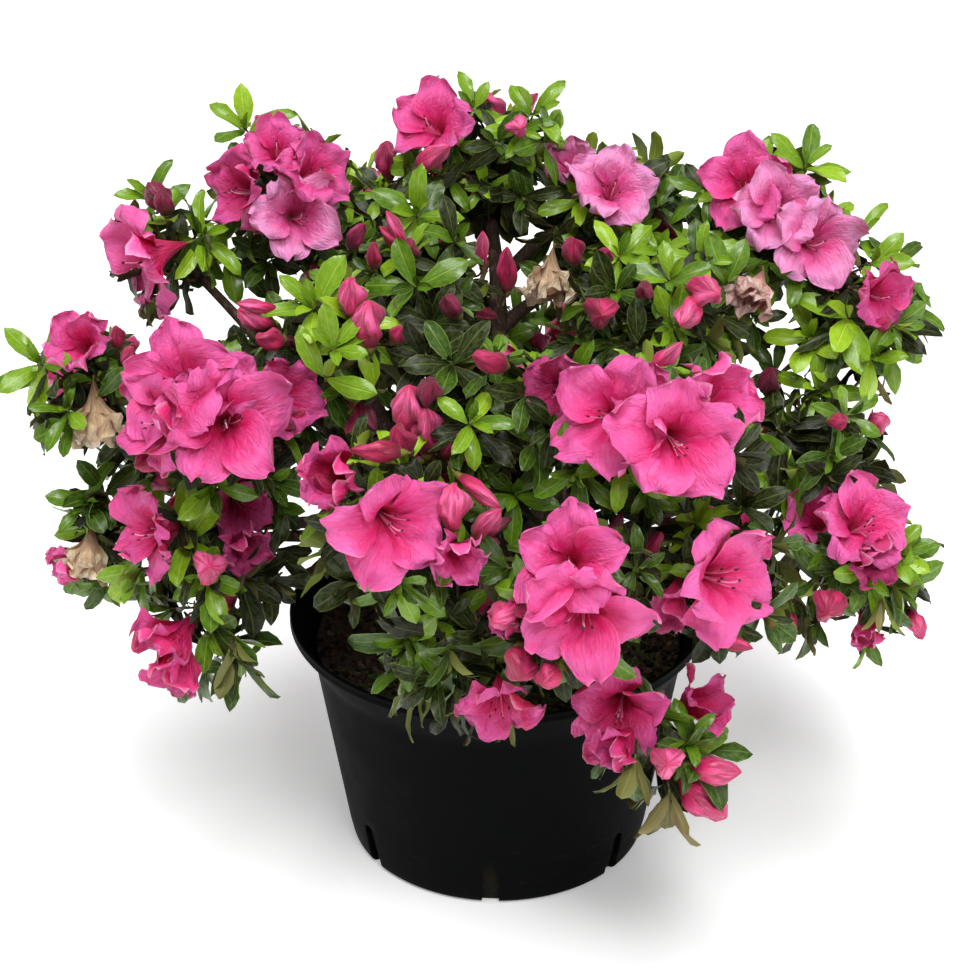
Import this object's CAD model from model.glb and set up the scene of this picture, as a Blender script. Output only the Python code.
# A pink azalea bush in a black nursery pot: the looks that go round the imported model.
import math
import random

import bmesh
import bpy
import numpy as np
from mathutils import Matrix, Quaternion, Vector, noise
from mathutils.bvhtree import BVHTree


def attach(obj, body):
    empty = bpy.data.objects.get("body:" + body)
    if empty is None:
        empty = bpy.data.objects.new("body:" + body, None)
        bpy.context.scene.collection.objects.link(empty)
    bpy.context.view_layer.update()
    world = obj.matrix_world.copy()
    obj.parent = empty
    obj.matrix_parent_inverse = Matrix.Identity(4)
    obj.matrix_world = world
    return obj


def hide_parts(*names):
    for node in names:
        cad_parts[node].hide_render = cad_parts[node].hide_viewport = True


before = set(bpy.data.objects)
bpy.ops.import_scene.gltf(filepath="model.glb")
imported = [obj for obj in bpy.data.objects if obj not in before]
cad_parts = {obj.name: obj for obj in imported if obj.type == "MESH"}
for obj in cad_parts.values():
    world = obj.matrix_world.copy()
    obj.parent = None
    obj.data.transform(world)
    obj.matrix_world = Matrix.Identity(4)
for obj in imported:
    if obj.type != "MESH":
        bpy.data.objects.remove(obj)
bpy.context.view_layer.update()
mm = 0.001
scene = bpy.context.scene
goldenAngle = math.pi * (3 - math.sqrt(5))


def hexColour(code):
    channels = [int(code[i:i + 2], 16) / 255 for i in (0, 2, 4)]
    return tuple(c / 12.92 if c <= 0.04045 else ((c + 0.055) / 1.055) ** 2.4 for c in channels) + (1,)


def smooth(low, high, value):
    share = np.clip((value - low) / (high - low), 0, 1)
    return share * share * (3 - 2 * share)


def blend(a, b, share):
    return a + (b - a) * share


def blendColour(a, b, share):
    return tuple(blend(x, y, share) for x, y in zip(a, b))


def unit(vector):
    return vector / max(np.linalg.norm(vector), 1e-12)


def sideOf(way):
    return unit(np.cross(way, [0.31, 0.17, 0.93]))


def outFrom(way, turn):
    # A direction square to a way, turned round it.
    side = sideOf(way)
    return side * math.cos(turn) + np.cross(way, side) * math.sin(turn)


def facing(turn, tilt):
    # The direction that is turned right of the front by so many degrees, and tilted up by so many.
    turn, tilt = math.radians(turn), math.radians(tilt)
    return np.array([math.sin(turn) * math.cos(tilt), -math.cos(turn) * math.cos(tilt), math.sin(tilt)])


def pathCurve(points, steps):
    # A smooth curve through the points, Catmull-Rom.
    points = [np.asarray(p, float) for p in points]
    ends = [2 * points[0] - points[1]] + points + [2 * points[-1] - points[-2]]
    curve = []
    for i in range(1, len(ends) - 2):
        a, b, c, d = ends[i - 1:i + 3]
        for k in range(steps):
            t = k / steps
            curve.append(0.5 * (2 * b + (c - a) * t + (2 * a - 5 * b + 4 * c - d) * t * t
                                + (3 * b - a - 3 * c + d) * t ** 3))
    return np.array(curve + [points[-1]])


def alongPath(path, share):
    # The point at a share of a path's length.
    lengths = np.concatenate([[0], np.cumsum(np.linalg.norm(np.diff(path, axis=0), axis=1))])
    return np.array([np.interp(share * lengths[-1], lengths, path[:, k]) for k in range(3)])


def addNode(tree, kind, inputs=None, **settings):
    node = tree.nodes.new(kind)
    for name, value in settings.items():
        setattr(node, name, value)
    for key, value in (inputs or {}).items():
        socket = node.inputs[key]
        if isinstance(value, bpy.types.NodeSocket):
            tree.links.new(value, socket)
        else:
            socket.default_value = value
    return node


def standing(name, data):
    thing = bpy.data.objects.new(name, data)
    scene.collection.objects.link(thing)
    return thing


def plainMesh(thing):
    # The mesh that a thing's modifiers make of it; the thing itself goes.
    made = bpy.data.meshes.new_from_object(thing.evaluated_get(bpy.context.evaluated_depsgraph_get()))
    bpy.data.objects.remove(thing)
    return made


def bodyMesh(body, name):
    # Ends the work on a body of rings and gives its mesh, with every face pointing out.
    bmesh.ops.recalc_face_normals(body, faces=body.faces)
    mesh = bpy.data.meshes.new(name)
    body.to_mesh(mesh)
    body.free()
    return mesh


def joinRings(body, rings):
    # Faces from ring to ring; a ring of one point closes the middle.
    sides = max(len(ring) for ring in rings)
    for low, high in zip(rings, rings[1:]):
        for j in range(sides):
            k = (j + 1) % sides
            corners = [low[j % len(low)], low[k % len(low)], high[k % len(high)], high[j % len(high)]]
            body.faces.new([c for i, c in enumerate(corners) if c not in corners[:i]])


def newSkin(name, colour, roughness, **surface):
    skin = bpy.data.materials.new(name)
    skin.use_nodes = True
    shader = skin.node_tree.nodes["Principled BSDF"]
    shader.inputs["Base Color"].default_value = colour
    shader.inputs["Roughness"].default_value = roughness
    for key, value in surface.items():
        shader.inputs[key.replace("_", " ")].default_value = value
    return skin


class Pattern:
    # Short ways to write the nodes of one material.
    def __init__(self, skin):
        self.tree = skin.node_tree
        self.shader = self.tree.nodes["Principled BSDF"]

    def math(self, operation, *values):
        return addNode(self.tree, "ShaderNodeMath", dict(enumerate(values)), operation=operation).outputs[0]

    def times(self, a, b):
        return self.math("MULTIPLY", a, b)

    def timesPlus(self, a, b, c):
        return self.math("MULTIPLY_ADD", a, b, c)

    def most(self, a, b):
        return self.math("MAXIMUM", a, b)

    def awayFrom(self, value, middle):
        return self.math("ABSOLUTE", self.math("SUBTRACT", value, middle))

    def range(self, value, low, high, toLow=0, toHigh=1):
        inputs = {"Value": value, "From Min": low, "From Max": high, "To Min": toLow, "To Max": toHigh}
        return addNode(self.tree, "ShaderNodeMapRange", inputs, interpolation_type="SMOOTHSTEP").outputs[0]

    def mix(self, share, a, b):
        return addNode(self.tree, "ShaderNodeMix", {0: share, 6: a, 7: b}, data_type="RGBA").outputs[2]

    def ramp(self, value, stops):
        node = addNode(self.tree, "ShaderNodeValToRGB", {"Fac": value})
        elements = node.color_ramp.elements
        while len(elements) < len(stops):
            elements.new(0.5)
        for element, (place, colour) in zip(elements, stops):
            element.position = place
            element.color = colour
        return node.outputs[0]

    def place(self, x=1, y=1, z=1):
        source = addNode(self.tree, "ShaderNodeTexCoord").outputs["Object"]
        return addNode(self.tree, "ShaderNodeMapping", {"Vector": source, "Scale": (x, y, z)}).outputs[0]

    def onMap(self, across=1, along=1):
        # A place on the piece's own map: across its width, and along it from foot to tip.
        source = addNode(self.tree, "ShaderNodeUVMap", uv_map="pattern").outputs[0]
        node = addNode(self.tree, "ShaderNodeMapping", {"Vector": source, "Scale": (across, along, 1)})
        return node.outputs[0]

    def noise(self, place, scale, detail=3, roughness=0.5, distortion=0.0):
        inputs = {"Vector": place, "Scale": scale, "Detail": detail, "Roughness": roughness,
                  "Distortion": distortion}
        return addNode(self.tree, "ShaderNodeTexNoise", inputs).outputs["Fac"]

    def parts(self, vector):
        return addNode(self.tree, "ShaderNodeSeparateXYZ", {0: vector}).outputs

    def colour(self, value):
        self.tree.links.new(value, self.shader.inputs["Base Color"])

    def roughness(self, value):
        self.tree.links.new(value, self.shader.inputs["Roughness"])

    def relief(self, height, distance, strength=1.0):
        inputs = {"Height": height, "Distance": distance, "Strength": strength}
        bump = addNode(self.tree, "ShaderNodeBump", inputs)
        self.tree.links.new(bump.outputs[0], self.shader.inputs["Normal"])


def newTree(name, sockets):
    # A geometry node tree with named inputs; gives the tree, its input node's outputs and its output.
    tree = bpy.data.node_groups.new(name, "GeometryNodeTree")
    tree.interface.new_socket(name="Geometry", in_out="INPUT", socket_type="NodeSocketGeometry")
    for label, kind in sockets:
        tree.interface.new_socket(name=label, in_out="INPUT", socket_type="NodeSocket" + kind)
    tree.interface.new_socket(name="Geometry", in_out="OUTPUT", socket_type="NodeSocketGeometry")
    start = tree.nodes.new("NodeGroupInput")
    return tree, start.outputs, tree.nodes.new("NodeGroupOutput")


def runTree(name, source, tree, values):
    # Runs a tree on a mesh and gives the plain mesh that comes out of it.
    carrier = standing(name + "_carrier", source)
    modifier = carrier.modifiers.new(name, "NODES")
    modifier.node_group = tree
    for item in tree.interface.items_tree:
        if item.in_out == "INPUT" and item.name in values:
            modifier[item.identifier] = values[item.name]
    made = plainMesh(carrier)
    made.name = name
    for label in ("turn", "size", "shape", "tone", "part", "thick"):
        if label in made.attributes:
            made.attributes.remove(made.attributes[label])
    return made


def named(tree, label, kind):
    return addNode(tree, "GeometryNodeInputNamedAttribute", {"Name": label}, data_type=kind).outputs[0]


def spreadTree(name, tones, parts):
    # Sets a shape on every point, turned, sized and chosen by the point's own attributes. A face's
    # material follows from the tone of its point and the part of its shape.
    kinds = [(f"Skin {t}.{p}", "Material") for t in range(tones) for p in range(parts)]
    tree, given, end = newTree(name, [("Shapes", "Collection")] + kinds)
    shapes = addNode(tree, "GeometryNodeCollectionInfo", {
        "Collection": given["Shapes"], "Separate Children": True, "Reset Children": True})
    turned = addNode(tree, "FunctionNodeEulerToRotation", {0: named(tree, "turn", "FLOAT_VECTOR")})
    placed = addNode(tree, "GeometryNodeInstanceOnPoints", {
        "Points": given["Geometry"], "Instance": shapes.outputs[0], "Pick Instance": True,
        "Instance Index": named(tree, "shape", "INT"), "Rotation": turned.outputs[0],
        "Scale": named(tree, "size", "FLOAT_VECTOR")})
    last = addNode(tree, "GeometryNodeRealizeInstances", {"Geometry": placed.outputs[0]}).outputs[0]
    tone, part = named(tree, "tone", "INT"), named(tree, "part", "INT")
    toned = addNode(tree, "ShaderNodeMath", {0: tone, 1: parts, 2: part}, operation="MULTIPLY_ADD")
    for index, (label, _) in enumerate(kinds):
        chosen = addNode(tree, "ShaderNodeMath", {0: toned.outputs[0], 1: index, 2: 0.1}, operation="COMPARE")
        last = addNode(tree, "GeometryNodeSetMaterial", {
            "Geometry": last, "Selection": chosen.outputs[0], "Material": given[label]}).outputs[0]
    tree.links.new(last, end.inputs[0])
    return tree


def spread(name, shapes, marks, skins):
    # One mesh of many small shapes. A mark is (place, turned axes, size, shape number, tone number).
    tones, parts = len(skins), max(len(row) for row in skins)
    points = bpy.data.meshes.new(name + "_points")
    points.from_pydata([tuple(m[0]) for m in marks], [], [])
    eulers = [Matrix(np.array(m[1]).tolist()).to_euler() for m in marks]
    sizes = [(m[2],) * 3 if np.isscalar(m[2]) else tuple(m[2]) for m in marks]
    for label, rows in (("turn", eulers), ("size", sizes)):
        points.attributes.new(label, "FLOAT_VECTOR", "POINT").data.foreach_set(
            "vector", np.array([tuple(r) for r in rows], np.float32).ravel())
    for label, place in (("shape", 3), ("tone", 4)):
        points.attributes.new(label, "INT", "POINT").data.foreach_set(
            "value", np.array([m[place] for m in marks], np.int32))
    folder = bpy.data.collections.new(name + "_shapes")
    for shape in shapes:
        folder.objects.link(shape)
    values = {"Shapes": folder}
    for tone, row in enumerate(skins):
        for part in range(parts):
            values[f"Skin {tone}.{part}"] = row[min(part, len(row) - 1)]
    mesh = runTree(name, points, spreadTree(name, tones, parts), values)
    bpy.data.collections.remove(folder)
    return mesh


def bakeTiles(mesh):
    # Lays the pattern's own map out again, one tile for each material, for a baked copy.
    source = mesh.uv_layers["pattern"]
    place = np.empty(len(mesh.loops) * 2, np.float32)
    source.data.foreach_get("uv", place)
    place = place.reshape(-1, 2)
    slots = np.empty(len(mesh.polygons), np.int32)
    mesh.polygons.foreach_get("material_index", slots)
    sides = np.empty(len(mesh.polygons), np.int32)
    mesh.polygons.foreach_get("loop_total", sides)
    slot = np.repeat(slots, sides)
    across = math.ceil(math.sqrt(max(1, len(mesh.materials))))
    tile = np.stack([slot % across, slot // across], 1)
    laid = (tile + 0.03 + 0.94 * np.clip(place, 0, 1)) / across
    mesh.uv_layers.new(name="OFBake").data.foreach_set("uv", laid.astype(np.float32).ravel())


def finished(name, mesh, slot, nodes=(), tiles=False):
    if tiles:
        bakeTiles(mesh)
    mesh.name = name
    piece = standing(name, mesh)
    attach(piece, "root")
    if nodes:
        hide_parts(*nodes)
    mesh.calc_loop_triangles()
    print(f"{name}: {len(mesh.loop_triangles)} triangles, {len(mesh.materials)} materials")


def newShape():
    return {"points": [], "faces": [], "uvs": [], "parts": []}


def sheetNormals(points):
    across = np.gradient(points, axis=1)
    along = np.gradient(points, axis=0)
    normal = np.cross(across, along)
    return normal / np.maximum(np.linalg.norm(normal, axis=2, keepdims=True), 1e-12)


def addSheet(shape, points, thickness, parts):
    # A closed thin blade: an upper sheet of rows and columns, and a lower one that shares its rim.
    rows, cols = points.shape[:2]
    base = len(shape["points"])
    upper = np.arange(rows * cols).reshape(rows, cols) + base
    lower = upper.copy()
    lower[1:-1, 1:-1] = np.arange((rows - 2) * (cols - 2)).reshape(rows - 2, cols - 2) + base + rows * cols
    under = points[1:-1, 1:-1] - sheetNormals(points)[1:-1, 1:-1] * thickness
    shape["points"] += [tuple(p) for p in points.reshape(-1, 3)] + [tuple(p) for p in under.reshape(-1, 3)]
    u = np.linspace(0, 1, cols)
    v = np.linspace(0, 1, rows)
    for i in range(rows - 1):
        for j in range(cols - 1):
            for corners in (((i, j), (i, j + 1), (i + 1, j + 1)), ((i, j), (i + 1, j + 1), (i + 1, j))):
                place = [(u[b], v[a]) for a, b in corners]
                shape["faces"] += [[upper[c] for c in corners], [lower[c] for c in corners][::-1]]
                shape["uvs"] += [place, place[::-1]]
                shape["parts"] += list(parts)


def addRound(shape, rings, part, closeEnds=True):
    # A closed body from rings of points, all with the same count.
    rings = np.asarray(rings)
    rows, cols = rings.shape[:2]
    base = len(shape["points"])
    shape["points"] += [tuple(p) for p in rings.reshape(-1, 3)]
    index = np.arange(rows * cols).reshape(rows, cols) + base
    for i in range(rows - 1):
        for j in range(cols):
            k = (j + 1) % cols
            shape["faces"].append([index[i, j], index[i, k], index[i + 1, k], index[i + 1, j]])
            shape["uvs"].append([(a / cols, b / (rows - 1)) for a, b in
                                 ((j, i), (j + 1, i), (j + 1, i + 1), (j, i + 1))])
            shape["parts"].append(part)
    if closeEnds:
        for ring, level in ((index[0][::-1], 0.0), (index[-1], 1.0)):
            turns = np.linspace(0, 2 * math.pi, cols, endpoint=False)
            shape["faces"].append(list(ring))
            shape["uvs"].append([(0.5 + 0.02 * math.cos(a), abs(level - 0.02 - 0.02 * math.sin(a)))
                                 for a in turns])
            shape["parts"].append(part)


def tubeRings(path, radii, sides):
    # Rings round a path, turned as little as can be from one to the next.
    path = np.asarray(path, float)
    tangents = np.gradient(path, axis=0)
    side = sideOf(tangents[0])
    rings = []
    for point, tangent, radius in zip(path, tangents, radii):
        tangent = unit(tangent)
        side = unit(side - tangent * side.dot(tangent))
        other = np.cross(tangent, side)
        turns = np.linspace(0, 2 * math.pi, sides, endpoint=False)
        rings.append([point + radius * (side * math.cos(a) + other * math.sin(a)) for a in turns])
    return rings


def shapeObject(name, shape, sharp=75):
    mesh = bpy.data.meshes.new(name)
    mesh.from_pydata(shape["points"], [], [[int(i) for i in f] for f in shape["faces"]])
    layer = mesh.uv_layers.new(name="pattern")
    layer.data.foreach_set("uv", np.array([c for f in shape["uvs"] for c in f], np.float32).ravel())
    mesh.attributes.new("part", "INT", "FACE").data.foreach_set("value", np.array(shape["parts"], np.int32))
    mesh.shade_smooth()
    mesh.set_sharp_from_angle(angle=math.radians(sharp))
    return bpy.data.objects.new(name, mesh)


potLook = {
    "height": 136, "neck": 98, "foot": 80, "collar": 24, "wall": 2, "floor": 3, "sides": 144,
    "footFlat": 60, "footRound": 5, "lipTop": (109.0, 134.9), "lipRound": 1.0, "softEdge": 0.35,
    "slots": 7, "slotWidth": 9, "slotHeight": 28, "slotReach": 12, "slotTurn": -3,
    # radius and height: the flared collar with a thin bead under its lip, the lip, and the way down inside
    "flare": [(98.1, 112), (99.2, 114.4), (101.4, 118), (104.0, 122.4), (106.3, 126.2), (107.6, 128.6)],
    "lip": [(108.3, 129.6), (109.6, 130.2), (110.0, 131.2), (109.7, 132.2), (109.6, 133.4)],
    "inside": [(108.0, 133.4), (107.6, 131.4), (106.2, 129.4), (104.3, 126.6), (99.6, 119.0)],
    "black": "040505", "worn": "080a09", "dust": "2a261e",
}


def potOutline():
    look = potLook
    neckHeight = look["height"] - look["collar"]
    wall = look["wall"]

    def arc(middle, radius, fromAngle, toAngle, steps):
        turns = [math.radians(blend(fromAngle, toAngle, k / steps)) for k in range(steps + 1)]
        return [(middle[0] + radius * math.cos(a), middle[1] + radius * math.sin(a)) for a in turns]

    outer = [(0.0, 0.0), (look["footFlat"], 0.0)]
    outer += arc((look["foot"] - 4.6, look["footRound"]), look["footRound"], -90, -10, 6)
    rise = np.linspace(0.1, 0.965, 14)
    outer += [(blend(look["foot"], look["neck"], s), blend(0, neckHeight, s)) for s in rise]
    outer += look["flare"] + look["lip"] + arc(look["lipTop"], look["lipRound"], -10, 170, 7)
    inner = look["inside"] + [(look["neck"] - wall, neckHeight - 0.5)]
    inner += [(blend(look["foot"], look["neck"], s) - wall, blend(0, neckHeight, s)) for s in rise[::-3]]
    inner += [(look["foot"] - wall - 1.5, look["floor"] + 1.5), (look["foot"] - 8, look["floor"])]
    inner += [(0.0, look["floor"])]
    return outer + inner


def slotCutters():
    look = potLook
    half = look["slotWidth"] / 2
    arch = [(-half, -3), (half, -3), (half, look["slotHeight"] - half)]
    arch += [(half * math.cos(a), look["slotHeight"] - half + half * math.sin(a))
             for a in np.linspace(0, math.pi, 10)[1:]]
    body = bmesh.new()
    for k in range(look["slots"]):
        turn = Matrix.Rotation(math.radians(look["slotTurn"] + 360 / look["slots"] * k), 4, "Z")
        ends = []
        for depth in (look["foot"] - look["slotReach"], look["neck"] + 6):
            ends.append([body.verts.new(turn @ Vector((x, -depth, z)) * mm) for x, z in arch])
        count = len(arch)
        body.faces.new(ends[0])
        body.faces.new(ends[1][::-1])
        for i in range(count):
            j = (i + 1) % count
            body.faces.new([ends[0][i], ends[1][i], ends[1][j], ends[0][j]])
    return standing("slotCutters", bodyMesh(body, "slotCutters"))


def potPlastic():
    look = potLook
    skin = newSkin("potPlastic", hexColour(look["black"]), 0.5, Specular_IOR_Level=0.03)
    pattern = Pattern(skin)
    place = pattern.place()
    mottle = pattern.noise(place, 38, 4, 0.6)
    height = pattern.parts(place)[2]
    low = pattern.range(height, 0.05, 0.0)
    scuff = pattern.noise(pattern.place(34, 34, 190), 1.6, 4, 0.65)
    scuffed = pattern.range(scuff, 0.60, 0.74)
    dusty = pattern.times(scuffed, pattern.timesPlus(low, 0.55, 0.08))
    grime = pattern.range(mottle, 0.42, 0.75, 0, 0.5)
    base = pattern.mix(grime, hexColour(look["black"]), hexColour(look["worn"]))
    pattern.colour(pattern.mix(dusty, base, hexColour(look["dust"])))
    fine = pattern.noise(place, 900, 2, 0.5)
    pattern.roughness(pattern.timesPlus(mottle, 0.34, 0.42))
    pattern.relief(pattern.timesPlus(fine, 0.6, mottle), 0.0005, 0.35)
    return skin


def makePot():
    look = potLook
    outline = potOutline()
    turns = np.linspace(0, 2 * math.pi, look["sides"], endpoint=False)
    body = bmesh.new()
    rings = []
    for radius, height in outline:
        if radius < 1e-6:
            rings.append([body.verts.new((0, 0, height * mm))])
        else:
            rings.append([body.verts.new((radius * mm * math.cos(a), radius * mm * math.sin(a), height * mm))
                          for a in turns])
    joinRings(body, rings)
    blank = standing("potBlank", bodyMesh(body, "pot"))
    cutter = slotCutters()
    cut = blank.modifiers.new("slots", "BOOLEAN")
    cut.operation = "DIFFERENCE"
    cut.solver = "EXACT"
    cut.object = cutter
    soften = blank.modifiers.new("soft edges", "BEVEL")
    soften.width = look["softEdge"] * mm
    soften.segments = 2
    soften.limit_method = "ANGLE"
    soften.angle_limit = math.radians(50)
    made = plainMesh(blank)
    bpy.data.objects.remove(cutter)
    made.shade_smooth()
    made.set_sharp_from_angle(angle=math.radians(40))
    made.materials.clear()
    made.materials.append(potPlastic())
    finished("pot_shell", made, "pot", ["pot"])


makePot()


soilLook = {
    "top": 121, "sag": 4, "inset": 3.4, "rings": 46, "around": 150, "lumps": 2.2, "crumbs": 2600,
    "strewn": 96, "cushions": 7, "mossTufts": 420, "seed": 5,
    "levels": (0.6, 14, 26, 50, 80, 104, 114),
    "dark": "120f0a", "brown": "33261a", "pale": "5d4a36", "moss": "3b4f1c", "soaked": "050403",
}


def soilHeight(x, y):
    # How high the soil's top lies at a place, in millimetres.
    look = soilLook
    across = math.hypot(x, y)
    level = look["top"] - look["sag"] * smooth(40, 98, across) - 0.6
    here = Vector((x, y, 3.0))
    lumps = noise.fractal(here * 0.05, 0.9, 2.1, 4) * look["lumps"]
    crumbs = noise.fractal(here * 0.33, 0.8, 2.0, 3) * 0.8
    return float(level + lumps + crumbs)


def soilSkin():
    look = soilLook
    skin = newSkin("soilCrumbs", hexColour(look["dark"]), 0.95, Specular_IOR_Level=0.2)
    pattern = Pattern(skin)
    place = pattern.place()
    grain = pattern.noise(place, 420, 5, 0.65)
    patches = pattern.noise(place, 46, 4, 0.6)
    base = pattern.ramp(grain, [(0.30, hexColour(look["dark"])), (0.58, hexColour(look["brown"])),
                                (0.78, hexColour(look["pale"]))])
    mossy = pattern.times(pattern.range(patches, 0.53, 0.66), 0.55)
    height = pattern.parts(place)[2]
    soaked = pattern.range(height, 0.06, 0.03, 0, 0.85)
    base = pattern.mix(mossy, base, hexColour(look["moss"]))
    pattern.colour(pattern.mix(soaked, base, hexColour(look["soaked"])))
    pattern.relief(grain, 0.0012, 0.9)
    return skin


def makeSoil():
    look = soilLook
    neckHeight = potLook["height"] - potLook["collar"]
    edge = look["top"] - look["sag"]

    def insideRadius(height):
        share = min(height / neckHeight, 1)
        out = blend(potLook["foot"], potLook["neck"], share)
        if height > neckHeight:
            out += (height - neckHeight) / 3 + (height - neckHeight) * 0.1
        return out - look["inset"]

    body = bmesh.new()
    turns = np.linspace(0, 2 * math.pi, look["around"], endpoint=False)

    def ring(radius, heightAt):
        made = []
        for a in turns:
            x, y = radius * math.cos(a), radius * math.sin(a)
            made.append(body.verts.new((x * mm, y * mm, heightAt(x, y) * mm)))
        return made

    rings = []
    for height in look["levels"]:
        radius = insideRadius(height) - (1 if height < 4 else 0)
        rings.append(ring(radius, lambda x, y, height=height: height))
    outermost = insideRadius(edge) - 0.4
    for share in np.linspace(1, 0.02, look["rings"]):
        rings.append(ring(outermost * share, soilHeight))
    joinRings(body, rings)
    body.faces.new(rings[0][::-1])
    body.faces.new(rings[-1])
    mesh = bodyMesh(body, "soil")
    mesh.shade_smooth()
    mesh.materials.append(soilSkin())
    finished("soil_bed", mesh, "soil", ["soil"])


def lumpShape(name, seed, flat=0.7, rough=0.35):
    # A small uneven lump from a ball of few faces.
    body = bmesh.new()
    bmesh.ops.create_icosphere(body, subdivisions=1, radius=1)
    for vert in body.verts:
        swell = 1 + rough * noise.noise(vert.co * 1.7 + Vector((seed * 7.3, 0, 0)))
        vert.co = Vector((vert.co.x * swell, vert.co.y * swell, vert.co.z * swell * flat))
    shape = newShape()
    shape["points"] = [tuple(v.co) for v in body.verts]
    for face in body.faces:
        shape["faces"].append([v.index for v in face.verts])
        shape["uvs"].append([(0.2, 0.2), (0.8, 0.2), (0.5, 0.8)])
        shape["parts"].append(0)
    body.free()
    return shapeObject(name, shape, 40)


def litterMarks():
    # Crumbs everywhere, moss in cushions near the front of the rim.
    look = soilLook
    rng = random.Random(look["seed"])
    marks = []
    for _ in range(look["crumbs"]):
        radius = look["strewn"] * math.sqrt(rng.random())
        turn = rng.uniform(0, 2 * math.pi)
        x, y = radius * math.cos(turn), radius * math.sin(turn)
        size = rng.choice((0.7, 0.9, 1.2, 1.6, 2.4)) * rng.uniform(0.7, 1.2)
        axes = Quaternion((rng.gauss(0, 1), rng.gauss(0, 1), rng.gauss(0, 1), rng.gauss(0, 1))).normalized()
        tone = rng.choice((0, 0, 0, 1, 1, 2))
        marks.append((np.array([x, y, soilHeight(x, y) + 0.2 * size]) * mm, axes.to_matrix(), size * mm,
                      rng.randrange(4), tone))
    cushions = [(rng.uniform(-75, 60), -rng.uniform(62, 90)) for _ in range(look["cushions"])]
    cushions += [(rng.uniform(-80, 80), rng.uniform(-60, 80)) for _ in range(look["cushions"])]
    for _ in range(look["mossTufts"]):
        middle = rng.choice(cushions)
        x, y = middle[0] + rng.gauss(0, 6), middle[1] + rng.gauss(0, 4)
        if math.hypot(x, y) < look["strewn"]:
            axes = Quaternion((0, 0, 1), rng.uniform(0, 6)).to_matrix()
            size = rng.uniform(1.0, 2.3)
            foot = np.array([x, y, soilHeight(x, y) + 0.4]) * mm
            marks.append((foot, axes, size * mm, rng.randrange(4), 3))
    return marks


makeSoil()


def grainySkin(name, colour, second, roughness, grain=6.0):
    # A matte skin for small things, clouded with a second colour.
    skin = newSkin(name, hexColour(colour), roughness, Specular_IOR_Level=0.25)
    pattern = Pattern(skin)
    cloud = pattern.noise(pattern.onMap(grain, grain), 1.0, 4, 0.65)
    pattern.colour(pattern.mix(pattern.range(cloud, 0.38, 0.66), hexColour(colour), hexColour(second)))
    pattern.relief(cloud, 0.0006, 0.7)
    return skin


crumbSkins = [[grainySkin("crumb" + name, code, "120d09", 0.95)] for name, code in
              (("Dark", "17120c"), ("Brown", "3a2b1d"), ("Pale", "6a5540"), ("Moss", "425a1e"))]
crumbs = [lumpShape(f"crumb{k}", k) for k in range(4)]
finished("soil_crumbs", spread("soil_crumbs", crumbs, litterMarks(), crumbSkins), "soil")
print("pot and soil stand")

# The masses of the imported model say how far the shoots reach. From here on, places are in
# millimetres as numpy arrays, and marks turn them into metres.
lookDown = math.radians(27)  # how steeply a standing viewer looks at the bush
lookWay = np.array([0, math.cos(lookDown), -math.sin(lookDown)])
lookUp = np.array([0, math.sin(lookDown), math.cos(lookDown)])


def readMass(name):
    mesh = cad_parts[name].data
    points = np.array([v.co for v in mesh.vertices], float) / mm
    whole = np.unique(points.round(2), axis=0)
    tree = BVHTree.FromPolygons([Vector(p) for p in points], [tuple(f.vertices) for f in mesh.polygons])
    seen = np.stack([whole[:, 0], whole @ lookUp], 1)
    low, high = seen.min(0), seen.max(0)
    return {"middle": whole.mean(0), "tree": tree,
            "seenMiddle": (low + high) / 2, "seenHalf": (high - low) / 2}


masses = {name: readMass(name) for name in sorted(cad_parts) if name.startswith("foliage")}


def reachOf(mass, direction):
    hit = mass["tree"].ray_cast(Vector(mass["middle"]), Vector(direction))
    return hit[3] if hit[3] else 30.0


def depthIn(mass, place):
    # How deep a place lies inside a mass; below zero outside it.
    away = place - mass["middle"]
    distance = np.linalg.norm(away)
    if distance < 1e-6:
        return 30.0
    if distance > 110:
        return -distance
    return reachOf(mass, away / distance) - distance


def frontPlace(name, across, up):
    # The place on the front of a mass at shares of its half width and half height.
    mass = masses["foliage_" + name]
    seen = mass["seenMiddle"] + mass["seenHalf"] * np.array([across, up])
    level = np.array([seen[0], 0, 0]) + lookUp * seen[1]
    level = level + lookWay * (mass["middle"] - level).dot(lookWay)
    hit = mass["tree"].ray_cast(Vector(level - lookWay * 200), Vector(lookWay))
    if hit[0] is None:
        hit = mass["tree"].find_nearest(Vector(level))
        return blend(np.array(hit[0]), level, 0.6)
    return np.array(hit[0])


def axesAlong(way, roll=0.0, up=(0, 0, 1)):
    # Turned axes whose Z points along a way, and whose Y points as far up as it can.
    z = unit(np.asarray(way, float))
    y = np.asarray(up, float) - z * z.dot(up)
    if np.linalg.norm(y) < 0.05:
        y = np.array([0, 1, 0]) - z * z[1]
    y = unit(y)
    x = np.cross(y, z)
    turned = np.stack([x, y, z], 1)
    return turned @ np.array(Matrix.Rotation(roll, 3, "Z"))


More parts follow.
